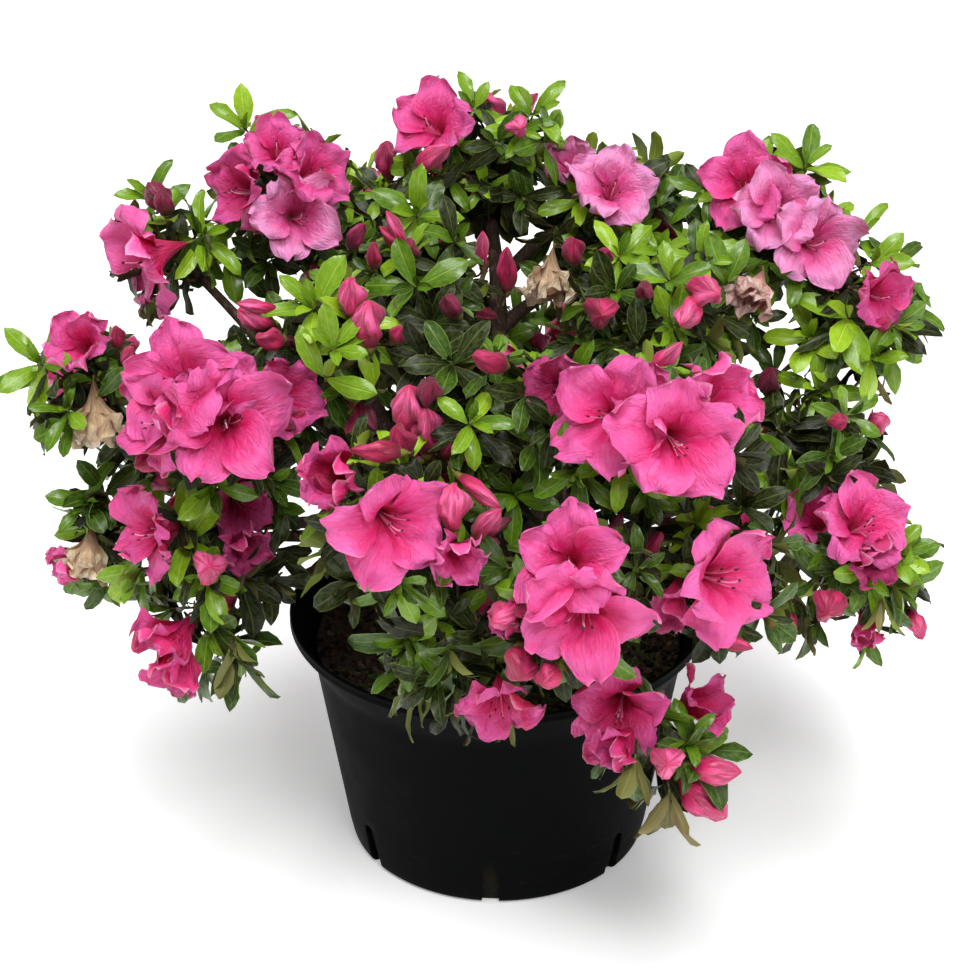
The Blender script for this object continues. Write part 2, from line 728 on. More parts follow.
# The limbs: the stem, the boughs and branches, and their lines through the bush.
stemLook = {"foot": (0, 4, 121.4), "lean": (3, 6), "height": 26, "footRadius": 17, "topRadius": 10,
            "flare": 2.5}
limbLook = {"crook": 5, "branchFoot": 4.2, "branchTip": 2.6, "branchRise": 6, "sides": 12, "steps": 4,
            "relief": 1.6, "grain": 160}
boughPlan = {
    # the mass it leads to, radius at its foot and at its tip, how far it arches up
    "bough_left": ("left", 7.5, 3.4, 14),
    "bough_upper_left": ("upper_left", 7.5, 3.2, 16),
    "bough_back": ("top", 8, 3.4, 14),
    "bough_upper_right": ("upper_right", 8, 3.4, 14),
    "bough_right": ("lower_right", 7, 3, 24),
    "bough_front": ("front_right", 6.5, 3, 18),
    "bough_front_left": ("centre_left", 6.5, 3, 14),
    "bough_lower_left": ("lower_left", 6, 2.8, 12),
    "bough_back_low": ("back", 6, 2.8, 12),
}
branchPlan = [
    # the mass it leads to, the limb it leaves, and how far along that limb
    ("left_tip", "bough_left", 0.5), ("far_left", "bough_left", 0.45), ("left_top", "bough_left", 0.3),
    ("middle_top", "bough_back", 0.25), ("right_top", "bough_upper_right", 0.3),
    ("far_right", "bough_upper_right", 0.45), ("middle_right", "bough_front", 0.3),
    ("front", "bough_front", 0.4), ("centre", "bough_front_left", 0.3),
    ("front_low", "bough_front_left", 0.35), ("far_lower_left", "bough_left", 0.25),
    ("left_low_tip", "bough_lower_left", 0.5), ("front_right_low", "bough_front", 0.25),
    ("right_back", "bough_right", 0.3), ("back_left", "bough_upper_left", 0.3),
    ("back_right", "bough_upper_right", 0.35),
]
# Masses with no limb of their own get a side branch from the nearest limb.
sideBranchSource = {
    "top_right": ("bough_back", 0.7), "right": ("bough_right", 0.6), "back_upper_left": ("bough_back", 0.55),
    "back_upper_right": ("bough_back", 0.6), "back_low_left": ("bough_back_low", 0.45),
    "back_low_right": ("bough_back_low", 0.45), "left_back": ("branch_back_left", 0.5),
}


def makeLimbLines():
    # Every limb as (points, radii), with the line that leads to each mass.
    look = stemLook
    foot = np.array(look["foot"], float)
    fork = foot + np.array([*look["lean"], look["height"]])
    knee = foot + np.array([0, 0, look["height"] * 0.6])
    shares = np.linspace(0, 1, 10)
    stem = np.array([foot * (1 - s) ** 2 + knee * 2 * s * (1 - s) + fork * s * s for s in shares])
    flare = look["topRadius"] + (look["footRadius"] - look["topRadius"]) * (1 - shares) ** look["flare"]
    stem[0, 2] -= 5
    lines = {"stem": (stem, flare)}
    leadTo = {}
    plan = [(name, to, None, 0, foot, tip, rise) for name, (to, foot, tip, rise) in boughPlan.items()]
    own = (limbLook["branchFoot"], limbLook["branchTip"], limbLook["branchRise"])
    plan += [("branch_" + to, to, source, along, *own) for to, source, along in branchPlan]
    plan += [("branch_" + to, to, source, along, *own) for to, (source, along) in sideBranchSource.items()]
    for seed, (name, to, source, along, thick, thin, rise) in enumerate(plan, 1):
        inStem = fork - np.array([0, 0, look["topRadius"] / 2])
        start = alongPath(lines[source][0], along) if source else inStem
        way = masses["foliage_" + to]["middle"] - start
        side = unit(np.array([-way[1], way[0], 0]))
        points = []
        for i, share in enumerate((0, 0.3, 0.65, 1)):
            bow = 4 * share * (1 - share)
            crook = limbLook["crook"] * bow * math.sin(2.4 * seed + 2.1 * i)
            points.append(start + way * share + side * crook + np.array([0, 0, rise * bow]))
        path = pathCurve(points, limbLook["steps"])
        lines[name] = (path, np.linspace(thick, thin * 0.7, len(path)))
        leadTo["foliage_" + to] = name
    return lines, leadTo


limbLines, leadTo = makeLimbLines()


def tubeTree(name):
    # Skins chains of edges as tapering limbs, with knots and ridges in their bark.
    tree, given, end = newTree(name, [("Sides", "Int"), ("Relief", "Float"), ("Grain", "Float"),
                                      ("Skin", "Material")])
    curve = addNode(tree, "GeometryNodeMeshToCurve", {0: given["Geometry"]}).outputs[0]
    ring = addNode(tree, "GeometryNodeCurvePrimitiveCircle", {"Resolution": given["Sides"], "Radius": 1.0})
    skin = addNode(tree, "GeometryNodeCurveToMesh", {
        "Curve": curve, "Profile Curve": ring.outputs[0], "Scale": named(tree, "thick", "FLOAT"),
        "Fill Caps": True}).outputs[0]
    place = addNode(tree, "GeometryNodeInputPosition").outputs[0]
    rough = addNode(tree, "ShaderNodeTexNoise", {"Vector": place, "Scale": given["Grain"], "Detail": 3.0})
    height = addNode(tree, "ShaderNodeMath", {0: rough.outputs[0], 1: 0.5}, operation="SUBTRACT")
    step = addNode(tree, "ShaderNodeMath", {0: height.outputs[0], 1: given["Relief"]}, operation="MULTIPLY")
    push = addNode(tree, "ShaderNodeVectorMath", {
        0: addNode(tree, "GeometryNodeInputNormal").outputs[0], "Scale": step.outputs[0]}, operation="SCALE")
    moved = addNode(tree, "GeometryNodeSetPosition", {"Geometry": skin, "Offset": push.outputs[0]})
    real = addNode(tree, "GeometryNodeRealizeInstances", {"Geometry": moved.outputs[0]})
    tree.links.new(addNode(tree, "GeometryNodeSetMaterial", {
        "Geometry": real.outputs[0], "Material": given["Skin"]}).outputs[0], end.inputs[0])
    return tree


def tubes(name, lines, sides, relief, grain, skin):
    points, edges, thick = [], [], []
    for path, radii in lines:
        start = len(points)
        points += [tuple(p * mm) for p in path]
        thick += [r * mm for r in radii]
        edges += [(start + i, start + i + 1) for i in range(len(path) - 1)]
    chains = bpy.data.meshes.new(name + "_chains")
    chains.from_pydata(points, edges, [])
    chains.attributes.new("thick", "FLOAT", "POINT").data.foreach_set("value", np.array(thick, np.float32))
    values = {"Sides": sides, "Relief": relief * mm, "Grain": grain, "Skin": skin}
    mesh = runTree(name, chains, tubeTree(name), values)
    mesh.shade_smooth()
    return mesh


barkLook = {"dark": "1a120d", "brown": "38281d", "grey": "665545", "shoot": "5e3a26", "green": "6d7a34"}


def barkSkin(name, dark, brown, grey, grain):
    skin = newSkin(name, hexColour(brown), 0.85, Specular_IOR_Level=0.25)
    pattern = Pattern(skin)
    place = pattern.place()
    fibre = pattern.noise(pattern.place(1, 1, 0.25), grain, 5, 0.65, 0.6)
    patch = pattern.noise(place, grain * 0.2, 3, 0.6)
    base = pattern.ramp(fibre, [(0.32, hexColour(dark)), (0.52, hexColour(brown)), (0.72, hexColour(grey))])
    pattern.colour(pattern.mix(pattern.range(patch, 0.4, 0.7, 0, 0.55), base, hexColour(dark)))
    pattern.relief(fibre, 0.0008, 0.8)
    return skin


limbSkin = barkSkin("limbBark", barkLook["dark"], barkLook["brown"], barkLook["grey"], 420)
limbMesh = tubes("limbs", list(limbLines.values()), limbLook["sides"], limbLook["relief"],
                 limbLook["grain"], limbSkin)
limbNodes = [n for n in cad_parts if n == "stem" or n.startswith(("bough", "branch"))]
finished("limbs_bark", limbMesh, "bark", limbNodes)
print("stem and boughs stand")

# Shapes of single leaves. A leaf grows along Y from its stalk, one unit long, with its face up.
leafLook = {
    # half width, upward start, downward curl, fold along the midrib, waviness, rows, columns
    "bud leaf": (0.17, 12, 20, 0.55, 0.02, 5, 3),
    "young": (0.20, 10, 30, 0.45, 0.03, 6, 5),
    "young broad": (0.235, 6, 30, 0.30, 0.03, 7, 5),
    "oval": (0.22, 4, 38, -0.22, 0.03, 7, 5),
    "long": (0.18, 6, 50, 0.30, 0.04, 6, 5),
    "drooping": (0.20, 0, 70, -0.30, 0.03, 6, 5),
    "old oval": (0.21, 2, 36, -0.20, 0.05, 6, 5),
    "old broad": (0.24, 0, 46, 0.20, 0.05, 6, 3),
    "rolled": (0.12, 4, 42, -0.85, 0.03, 6, 5),
    "narrow": (0.14, 6, 30, 0.40, 0.03, 6, 3),
}
leafShapeNumber = {name: i for i, name in enumerate(leafLook)}


def leafSheet(name, seed):
    half, rise, curl, fold, wave, rows, cols = leafLook[name]
    t = np.linspace(0, 1, rows)
    t[1:-1] = 0.5 + 0.44 * np.sin(math.pi * (t[1:-1] - 0.5))
    breadth = np.sin(math.pi * t ** 1.32) ** 0.62
    breadth = np.maximum(breadth, 0.12 * (1 - t))
    breadth[-1] = 0.06
    slope = np.radians(rise - curl * t ** 1.2)
    step = np.diff(t)
    y = np.concatenate([[0], np.cumsum(np.cos(slope[:-1]) * step)])
    z = np.concatenate([[0], np.cumsum(np.sin(slope[:-1]) * step)])
    u = np.linspace(-1, 1, cols)
    width = half * breadth[:, None] * u[None, :]
    lift = np.abs(width) * np.abs(u)[None, :] ** 0.7 * fold
    ripple = wave * np.sin(9 * t[:, None] + seed + 2 * np.sign(u)[None, :]) * np.abs(u)[None, :] ** 2
    sway = 0.05 * np.sin(seed * 2.1) * t[:, None] ** 2
    points = np.zeros((rows, cols, 3))
    points[..., 0] = width * (1 - 0.25 * abs(fold)) + sway
    points[..., 1] = y[:, None] + lift * np.sin(-slope)[:, None]
    points[..., 2] = z[:, None] + lift * np.cos(slope)[:, None] + ripple
    return points


def leafShape(name, index):
    shape = newShape()
    addSheet(shape, leafSheet(name, index * 1.7), 0.012, (0, 1))
    return shapeObject(f"leaf{index:02d}", shape)


leafTones = {
    # upper side, midrib, lower side
    "lime": ("84ac0e", "b0c84a", "98ac40"),
    "fresh": ("678f06", "98b63c", "84963a"),
    "leaf": ("456d05", "84a034", "768238"),
    "deep": ("264404", "6a8234", "6c7138"),
    "old": ("121e04", "5c6834", "5e5e30"),
    "dark": ("080d03", "4a522a", "444222"),
    "olive": ("5c5526", "86804a", "7c7448"),
}
leafToneNumber = {name: i for i, name in enumerate(leafTones)}
leafGloss = {"lime": 0.5, "fresh": 0.6, "leaf": 0.55, "deep": 0.36, "old": 0.16, "dark": 0.08, "olive": 0.2}


def leafSkin(name, face, rib, gloss):
    aged = name in ("deep", "old", "dark")
    skin = newSkin("leaf" + name.title(), hexColour(face), 0.4, Specular_IOR_Level=0.16, Coat_Weight=gloss,
                   Coat_Roughness=0.24)
    pattern = Pattern(skin)
    u, v, _ = pattern.parts(pattern.onMap())
    off = pattern.awayFrom(u, 0.5)
    midrib = pattern.range(off, 0.055, 0.012)
    # Side veins leave the midrib forwards at a slant.
    slant = pattern.timesPlus(off, -0.55, v)
    wave = pattern.math("SINE", pattern.times(slant, 56.0))
    veins = pattern.range(wave, 0.80, 1.0)
    veined = pattern.times(veins, 0.35)
    rim = pattern.times(pattern.range(off, 0.42, 0.48), 1.0 if aged else 0.4)
    mottle = pattern.noise(pattern.onMap(3, 5), 1.6, 3, 0.6)
    base = pattern.mix(pattern.range(mottle, 0.35, 0.7, 0.0, 0.35), hexColour(face), hexColour(rib))
    marked = pattern.most(pattern.most(midrib, veined), rim)
    pattern.colour(pattern.mix(pattern.times(marked, 0.8), base, hexColour(rib)))
    pattern.roughness(pattern.timesPlus(mottle, 0.25, 0.26))
    sunk = pattern.most(midrib, pattern.times(veins, 0.6))
    quilted = pattern.noise(pattern.onMap(9, 13), 1.0, 2, 0.5)
    pattern.relief(pattern.timesPlus(quilted, 0.8, pattern.math("SUBTRACT", 1.0, sunk)), 0.0008, 0.6)
    return skin


def undersideSkin(name, colour):
    skin = newSkin("leafUnder" + name.title(), hexColour(colour), 0.6, Specular_IOR_Level=0.3)
    pattern = Pattern(skin)
    u, v, _ = pattern.parts(pattern.onMap())
    off = pattern.awayFrom(u, 0.5)
    rib = pattern.range(off, 0.06, 0.015)
    pale = tuple(min(1, c * 1.5) for c in hexColour(colour)[:3]) + (1,)
    pattern.colour(pattern.mix(pattern.times(rib, 0.7), hexColour(colour), pale))
    return skin


# Shapes of blossom. A flower faces along Z from the foot of its tube, in millimetres, 60 across.
petalLook = {
    "across": 60, "tube": 11.5, "lobe": 28, "halfWidth": 13.4, "foot": 0.7, "thickness": 0.3,
    "lobes": 5, "rows": 14, "columns": 11, "tubeLean": 20, "openLean": 68, "overlap": 2.2,
    "ruffle": 3.0, "roll": 5.2, "crumple": 6.0,
    "split": -5,  # where the petals of the left and the right half of the bush part
}
flowerKinds = {
    # how far it has opened, spread of its lobes at the tip, ruffle, crumple, width of the lobes
    "open0": (1.00, 14, 1.0, 0.32, 1.00), "open1": (0.92, 26, 1.2, 0.30, 1.05),
    "open2": (1.06, 6, 1.0, 0.32, 0.97), "open3": (0.80, 30, 1.3, 0.35, 1.08),
    "open4": (0.96, 10, 1.2, 0.30, 1.00), "open5": (0.86, 22, 1.4, 0.40, 1.04),
    "open6": (1.02, 32, 0.9, 0.28, 0.94), "open7": (0.74, 12, 1.2, 0.40, 1.08),
    "cup0": (0.44, 8, 1.2, 0.30, 0.95), "cup1": (0.54, 24, 1.4, 0.32, 0.95),
    "cup2": (0.36, 4, 1.0, 0.30, 0.95), "trumpet": (0.34, 34, 0.9, 0.20, 0.72),
    "wilted0": (0.26, -6, 1.6, 1.00, 0.75), "wilted1": (0.34, 10, 1.6, 1.30, 0.70),
    "striped": (0.94, 20, 1.2, 0.38, 0.98),
}
flowerNumber = {name: i for i, name in enumerate(flowerKinds)}
throatDepth = {"o": 17, "s": 17, "c": 26, "t": 28, "w": 28}  # by the first letter of a kind


def lobeCourse(kind, rng):
    # How one lobe runs out from the foot of the tube to its rim, row by row: its share of the free
    # lobe, its distance from the flower's axis, its height, its lean and half its width. Then how far
    # its two sides roll.
    look = petalLook
    opened, curlBack, _, _, broad = flowerKinds[kind]
    t = np.linspace(0, 1, look["rows"]) ** 0.85
    t[-2] = blend(t[-2], 1, 0.35)
    length = look["tube"] + look["lobe"] * rng.uniform(0.93, 1.07)
    tubeShare = look["tube"] / length
    openTo = look["openLean"] * opened + rng.uniform(-22, 14)
    curl = curlBack + rng.uniform(-20, 18)
    rolls = (rng.uniform(-0.7, 1.0), rng.uniform(-0.7, 1.0))
    lean = blend(look["tubeLean"], openTo, smooth(tubeShare * 0.5, tubeShare + 0.5, t))
    lean = np.radians(lean + curl * smooth(0.62, 1.0, t))
    steps = np.diff(t, prepend=0) * length
    radius = look["foot"] + np.cumsum(np.sin(lean) * steps)
    height = np.cumsum(np.cos(lean) * steps)
    inLobe = np.clip((t - tubeShare) / (1 - tubeShare), 0, 1)
    swell = np.sqrt(np.clip(1 - (2 * inLobe ** 0.86 - 1) ** 2, 0, 1)) ** 0.66
    tubeHalf = radius * math.pi / look["lobes"] * 1.12
    full = look["halfWidth"] * broad * rng.uniform(0.94, 1.06)
    grow = smooth(0.0, 0.5, inLobe)
    half = blend(tubeHalf, full * np.maximum(swell, 0.12), grow)
    half = np.minimum(half, np.where(inLobe < 0.5, radius * 1.05 + 1.2, 99))
    half[-1] = full * 0.30
    return inLobe, radius, height, lean, half, rolls


def lobeSheet(kind, lobe, seed):
    # The points of one lobe of a flower, bent, ruffled and crumpled. Neighbours lie over each other.
    look = petalLook
    _, _, ruffle, crumple, _ = flowerKinds[kind]
    rng = random.Random(seed * 31 + lobe * 7)
    inLobe, radius, height, lean, half, rolls = lobeCourse(kind, rng)
    rows, cols = look["rows"], look["columns"]
    u = np.linspace(-1, 1, cols)
    bend = blend(1 / np.maximum(radius, 1), rng.uniform(-0.034, 0.040), smooth(0.0, 0.55, inLobe))
    turn = math.radians(90 + 360 / look["lobes"] * lobe + rng.uniform(-5, 5))
    outward = np.array([math.cos(turn), math.sin(turn), 0])
    sideways = np.array([-math.sin(turn), math.cos(turn), 0])
    axis = np.array([0, 0, 1.0])
    points = np.zeros((rows, cols, 3))
    twist = rng.uniform(-0.12, 0.12)
    phase = rng.uniform(0, 6)
    crumpled = crumple * look["crumple"]
    for i in range(rows):
        centre = outward * radius[i] + axis * height[i]
        along = outward * math.sin(lean[i]) + axis * math.cos(lean[i])
        inward = axis * math.sin(lean[i]) - outward * math.cos(lean[i])
        k = bend[i]
        free = smooth(0.0, 0.7, inLobe[i])
        for j in range(cols):
            a = u[j] * half[i]
            if abs(k) > 1e-4:
                x, lift = math.sin(a * k) / k, (1 - math.cos(a * k)) / k
            else:
                x, lift = a, 0.0
            edge = max(abs(u[j]) ** 2.2, inLobe[i] ** 3)
            wavy = 0.9 * math.sin(phase + 9.5 * inLobe[i] * (1 if u[j] > 0 else -1.15) + 2.8 * u[j])
            wavy += 1.1 * noise.noise(Vector((u[j] * 2.2, inLobe[i] * 3.6, seed * 3.1 + lobe)))
            lift += look["ruffle"] * ruffle * edge * free * wavy
            pleat = math.cos(math.pi * 3 * u[j]) * 0.35 - 1.1 * math.exp(-(u[j] / 0.16) ** 2)
            lift += pleat * free * (1 - 0.6 * inLobe[i])
            lift += look["overlap"] * u[j] * smooth(0.0, 0.25, inLobe[i]) + twist * a * free
            lift += look["roll"] * rolls[int(u[j] > 0)] * abs(u[j]) ** 3 * free
            here = Vector((u[j] * 1.9, inLobe[i] * 3.0, seed * 5.3 + lobe * 1.7))
            lift += crumpled * noise.noise(here) * free
            x += crumpled * 5 / 6 * noise.noise(here + Vector((9, 0, 0))) * free
            back = crumpled * noise.noise(here + Vector((0, 9, 0))) * free
            # The rim of a lobe is gently notched at its tip.
            dip = (2.2 * (u[j] ** 2) + 0.9 * math.sin(5.1 * u[j] + phase)) * smooth(0.5, 1.0, inLobe[i])
            points[i, j] = centre + sideways * x + inward * lift - along * (dip + back)
    return points


def flowerShape(kind, index):
    shape = newShape()
    for lobe in range(petalLook["lobes"]):
        inner = 1 if lobe in (0, 1, 4) else 0  # the three upper lobes carry the speckled blotch
        if kind == "striped" and lobe == 2:
            inner = 3
        addSheet(shape, lobeSheet(kind, lobe, index + 1), petalLook["thickness"], (inner, 2))
    return shapeObject(f"flower{index:02d}", shape, 100)


petalTones = {
    # throat, middle, rim, back
    "bright": ("cc1446", "e62070", "f868ae", "e85ea2"),
    "rose": ("b00e3a", "ce165c", "ec4890", "d65092"),
    "pale": ("d03064", "ea4a90", "fb8ec8", "f496c8"),
    "deep": ("8c0c2c", "ac144c", "d03e7c", "b84078"),
    "tan": ("9a6a48", "cda480", "e4ccb0", "d8b898"),
    "blush": ("a85a55", "d4988e", "e4bcb0", "d8a8a0"),
}
petalToneNumber = {name: i for i, name in enumerate(petalTones)}


def petalSkin(name, tone, kind):
    throat, middle, rim, back = (hexColour(c) for c in petalTones[tone])
    skin = newSkin(name, middle, 0.36, Specular_IOR_Level=0.3, Subsurface_Weight=0.25, Subsurface_Scale=0.003)
    pattern = Pattern(skin)
    u, v, _ = pattern.parts(pattern.onMap())
    off = pattern.awayFrom(u, 0.5)
    streaks = pattern.noise(pattern.onMap(34, 2.2), 1.0, 3, 0.6, 0.4)
    cloud = pattern.noise(pattern.onMap(3.5, 4), 1.0, 3, 0.6)
    if kind == "back":
        base = pattern.ramp(v, [(0.15, throat), (0.42, middle), (0.75, back), (1.0, back)])
        ribbed = pattern.times(pattern.range(off, 0.09, 0.0), 0.4)
        base = pattern.mix(ribbed, base, middle)
    else:
        base = pattern.ramp(v, [(0.10, throat), (0.36, blendColour(throat, middle, 0.6)), (0.55, middle),
                                (0.82, blendColour(middle, rim, 0.45)), (1.0, rim)])
        edge = pattern.times(pattern.range(off, 0.36, 0.5), pattern.range(v, 0.4, 0.6))
        base = pattern.mix(pattern.times(edge, 0.6), base, rim)
        valley = pattern.times(pattern.range(off, 0.10, 0.0), pattern.range(v, 0.95, 0.6))
        base = pattern.mix(pattern.times(valley, 0.4), base, throat)
    base = pattern.mix(pattern.range(cloud, 0.35, 0.7, 0.0, 0.38), base, rim)
    if kind != "back":
        hem = pattern.most(pattern.range(v, 0.93, 1.0),
                           pattern.times(pattern.range(off, 0.43, 0.5), pattern.range(v, 0.5, 0.7)))
        base = pattern.mix(pattern.times(hem, 0.55), base, blendColour(rim, hexColour("ffeaf3"), 0.35))
    veined = pattern.times(pattern.range(streaks, 0.52, 0.72), 0.32)
    base = pattern.mix(veined, base, throat)
    if kind == "blotched":
        speck = pattern.noise(pattern.onMap(26, 22), 1.0, 1, 0.4)
        near = pattern.times(pattern.range(off, 0.24, 0.08),
                             pattern.times(pattern.range(v, 0.30, 0.42), pattern.range(v, 0.78, 0.58)))
        spots = pattern.times(pattern.range(speck, 0.57, 0.62), near)
        base = pattern.mix(pattern.times(near, 0.22), base, throat)
        base = pattern.mix(pattern.times(spots, 0.85), base, hexColour("6d1038"))
    if kind == "striped":
        stripe = pattern.times(pattern.range(pattern.awayFrom(u, 0.38), 0.085, 0.05),
                               pattern.range(v, 0.3, 0.5))
        base = pattern.mix(pattern.times(stripe, 0.85), base, hexColour("f3cfe0"))
    pattern.colour(base)
    crease = pattern.noise(pattern.onMap(10, 5), 1.0, 4, 0.6, 1.2)
    pattern.relief(pattern.timesPlus(streaks, 0.6, pattern.timesPlus(crease, 1.9, cloud)), 0.002, 0.7)
    return skin


def stamenShape(index):
    # Filaments with dark anthers, and a longer pistil, out of the flower's throat.
    rng = random.Random(index + 90)
    shape = newShape()
    for k in range(5):
        turn = math.radians(rng.uniform(200, 340))
        away = np.array([math.cos(turn), math.sin(turn), 0])
        length = rng.uniform(17, 26)
        spreadOut = rng.uniform(0.10, 0.34)
        steps = np.linspace(0.12, 1, 6)
        path = [away * (1.0 + spreadOut * length * s ** 1.7) + np.array([0, 3.2 * s ** 3, length * s])
                for s in steps]
        addRound(shape, tubeRings(path, np.linspace(0.34, 0.24, 6), 4), 0)
        tip, way = path[-1], unit(path[-1] - path[-2])
        grains = [tip + way * d for d in (-0.4, 0.5, 1.5, 2.3)]
        addRound(shape, tubeRings(grains, (0.2, 0.5, 0.46, 0.16), 5), 1)
    length = rng.uniform(25, 31)
    path = [np.array([0.4, -1.0 - 4.0 * s ** 1.3 + 5 * s ** 4, length * s]) for s in np.linspace(0.1, 1, 8)]
    addRound(shape, tubeRings(path, np.linspace(0.42, 0.34, 8), 5), 2)
    tip, way = path[-1], unit(path[-1] - path[-2])
    addRound(shape, tubeRings([tip, tip + way * 0.8, tip + way * 1.5], (0.4, 0.7, 0.4), 6), 1)
    return shapeObject(f"stamens{index:02d}", shape)


budKinds = {
    # length, half width, where it is widest, twist of its folds, depth of its folds
    "pointed": (24, 4.5, 0.40, 1.6, 0.30), "slim": (26, 3.8, 0.42, 1.1, 0.28),
    "plump": (22, 5.2, 0.48, 1.9, 0.32), "round": (16, 5.9, 0.52, 1.5, 0.30),
    "small": (11, 3.0, 0.45, 1.2, 0.22), "bursting": (25, 5.8, 0.56, 2.3, 0.42),
}
budNumber = {name: i for i, name in enumerate(budKinds)}


def budShape(kind, index):
    length, half, widest, twist, depth = budKinds[kind]
    rng = random.Random(index + 300)
    shape = newShape()
    rows, cols = 12, 15
    rings = []
    for i in range(rows):
        s = i / (rows - 1)
        body = math.sin(math.pi * min(1, s ** (math.log(0.5) / math.log(widest)))) ** 0.72
        radius = half * max(body, 0.06 if s > 0.5 else 0.22)
        ring = []
        for j in range(cols):
            a = 2 * math.pi * j / cols
            fold = math.cos(3 * a + twist * 3.2 * s + index)
            fold = math.copysign(abs(fold) ** 0.7, fold)
            wrinkle = noise.noise(Vector((math.cos(a) * 2.0, math.sin(a) * 2.0, s * 5 + index * 3)))
            r = radius * (1 + depth * fold * (0.3 + s) + 0.24 * wrinkle)
            ring.append((r * math.cos(a), r * math.sin(a), length * s))
        rings.append(ring)
    addRound(shape, rings, 0)
    # A short green cup of pointed sepals holds the bud.
    cup = [[(r * (1 + (0.25 if j % 2 and k > 1 else 0)) * math.cos(2 * math.pi * j / 10),
             r * (1 + (0.25 if j % 2 and k > 1 else 0)) * math.sin(2 * math.pi * j / 10), z)
            for j in range(10)]
           for k, (r, z) in enumerate(((0.9, -2.2), (1.7, -0.6), (half * 0.45, 1.6), (half * 0.36, 2.4)))]
    addRound(shape, cup, 1)
    return shapeObject(f"bud{index:02d}", shape, 120)


budTones = {"rosy": ("8c0c34", "cc2262", "e8689e"), "crimson": ("640a24", "a41240", "c8326a"),
            "wine": ("480820", "741030", "92264c")}
budToneNumber = {name: i for i, name in enumerate(budTones)}


def budSkin(name):
    foot, side, light = (hexColour(c) for c in budTones[name])
    skin = newSkin("bud" + name.title(), side, 0.42, Specular_IOR_Level=0.4, Sheen_Weight=0.1,
                   Subsurface_Weight=0.08, Subsurface_Scale=0.002)
    pattern = Pattern(skin)
    _, v, _ = pattern.parts(pattern.onMap())
    streaks = pattern.noise(pattern.onMap(14, 2), 1.0, 3, 0.6, 0.5)
    base = pattern.ramp(v, [(0.0, hexColour("6f7a30")), (0.10, foot), (0.4, side), (0.8, light), (1.0, side)])
    base = pattern.mix(pattern.range(streaks, 0.45, 0.60, 0.0, 0.7), base, foot)
    pattern.colour(base)
    pattern.relief(streaks, 0.0012, 0.8)
    return skin


print("shapes of leaves and blossom are ready")

# What stands on the side that is seen first. Each entry lies on the front of a mass, at a share of
# its half width and half height, and faces so many degrees right of the front and up.
flowersInFront = {
    # across, up, turned right, tilted up, width, kind, tone
    "left_tip": [(-0.3, -0.12, -60, -6, 66, "open1", "bright")],
    "upper_left": [(-0.5, -0.06, -42, 14, 49, "open3", "rose"), (0.2, -0.36, 18, 24, 54, "open0", "pale"),
        (0.4, 0.15, 44, 30, 47, "open5", "bright"), (-0.05, 0.42, 5, 52, 41, "open7", "bright")],
    "top": [(-0.5, 0.32, -30, 40, 52, "open4", "bright")],
    "top_right": [(-0.1, 0.0, 8, 44, 52, "open5", "pale"), (-0.7, 0.5, -15, 60, 40, "cup1", "pale")],
    "upper_right": [(-0.38, 0.24, -8, 34, 54, "open2", "bright"),
        (-0.04, -0.06, 8, 22, 50, "open4", "pale"), (0.4, -0.46, 18, 20, 56, "open0", "pale")],
    "far_right": [(0.12, 0.12, 40, 10, 40, "open3", "rose")],
    "far_left": [(0.2, 0.6, -5, 40, 46, "cup1", "bright")],
    "left": [(-0.28, 0.27, -20, 40, 65, "open6", "bright"), (0.2, -0.12, 6, 26, 70, "open0", "bright"),
        (-0.52, -0.1, -42, 12, 54, "open3", "rose"), (0.78, 0.15, 38, 18, 49, "open5", "rose"),
        (0.12, 0.3, 10, 50, 44, "open4", "bright")],
    "centre_left": [(-0.5, 0.36, -18, 10, 52, "cup0", "rose"),
        (0.07, -0.04, 24, 6, 61, "striped", "bright"), (0.66, -0.4, 22, 0, 38, "cup1", "bright")],
    "middle_right": [(-0.45, 0.12, -22, 20, 63, "open2", "bright"),
        (0.1, -0.1, 8, 18, 67, "open5", "bright"), (-0.14, 0.45, 0, 56, 40, "cup1", "bright"),
        (0.58, 0.42, 50, 36, 56, "cup1", "bright"), (-0.88, 0.42, -22, 10, 41, "open7", "deep")],
    "front": [(0.0, -0.1, -4, 0, 66, "open0", "bright"), (-0.16, 0.42, -8, 34, 57, "open6", "bright"),
        (-0.85, -0.2, -32, 0, 31, "cup0", "rose")],
    "front_right": [(-0.08, -0.02, 36, 16, 67, "open1", "bright"),
        (-0.66, -0.5, -20, -34, 43, "trumpet", "bright")],
    "front_low": [(0.42, -0.5, 5, -24, 49, "open3", "rose")],
    "front_right_low": [(-0.55, 0.62, -10, 4, 54, "open6", "rose"),
        (-0.66, 0.16, -42, -16, 40, "cup0", "rose"), (0.66, 0.74, 62, 34, 52, "trumpet", "rose")],
    "lower_left": [(-0.5, 0.2, -50, 10, 54, "open5", "rose"), (0.5, 0.6, 20, 8, 41, "open7", "deep"),
        (0.66, -0.1, 32, 0, 38, "cup1", "deep")],
    "left_low_tip": [(-0.6, 0.14, -44, -24, 56, "cup1", "rose"),
        (-0.42, -0.36, -14, -52, 56, "trumpet", "rose")],
    "far_lower_left": [(-0.66, -0.55, -55, -10, 38, "cup0", "bright")],
    "lower_right": [(-0.55, 0.72, -8, 50, 47, "cup1", "bright"),
        (-0.08, 0.62, 26, 42, 55, "open4", "bright"), (0.12, 0.16, 45, 8, 42, "cup1", "deep"),
        (0.02, -0.85, 10, -42, 31, "cup0", "rose")],
}
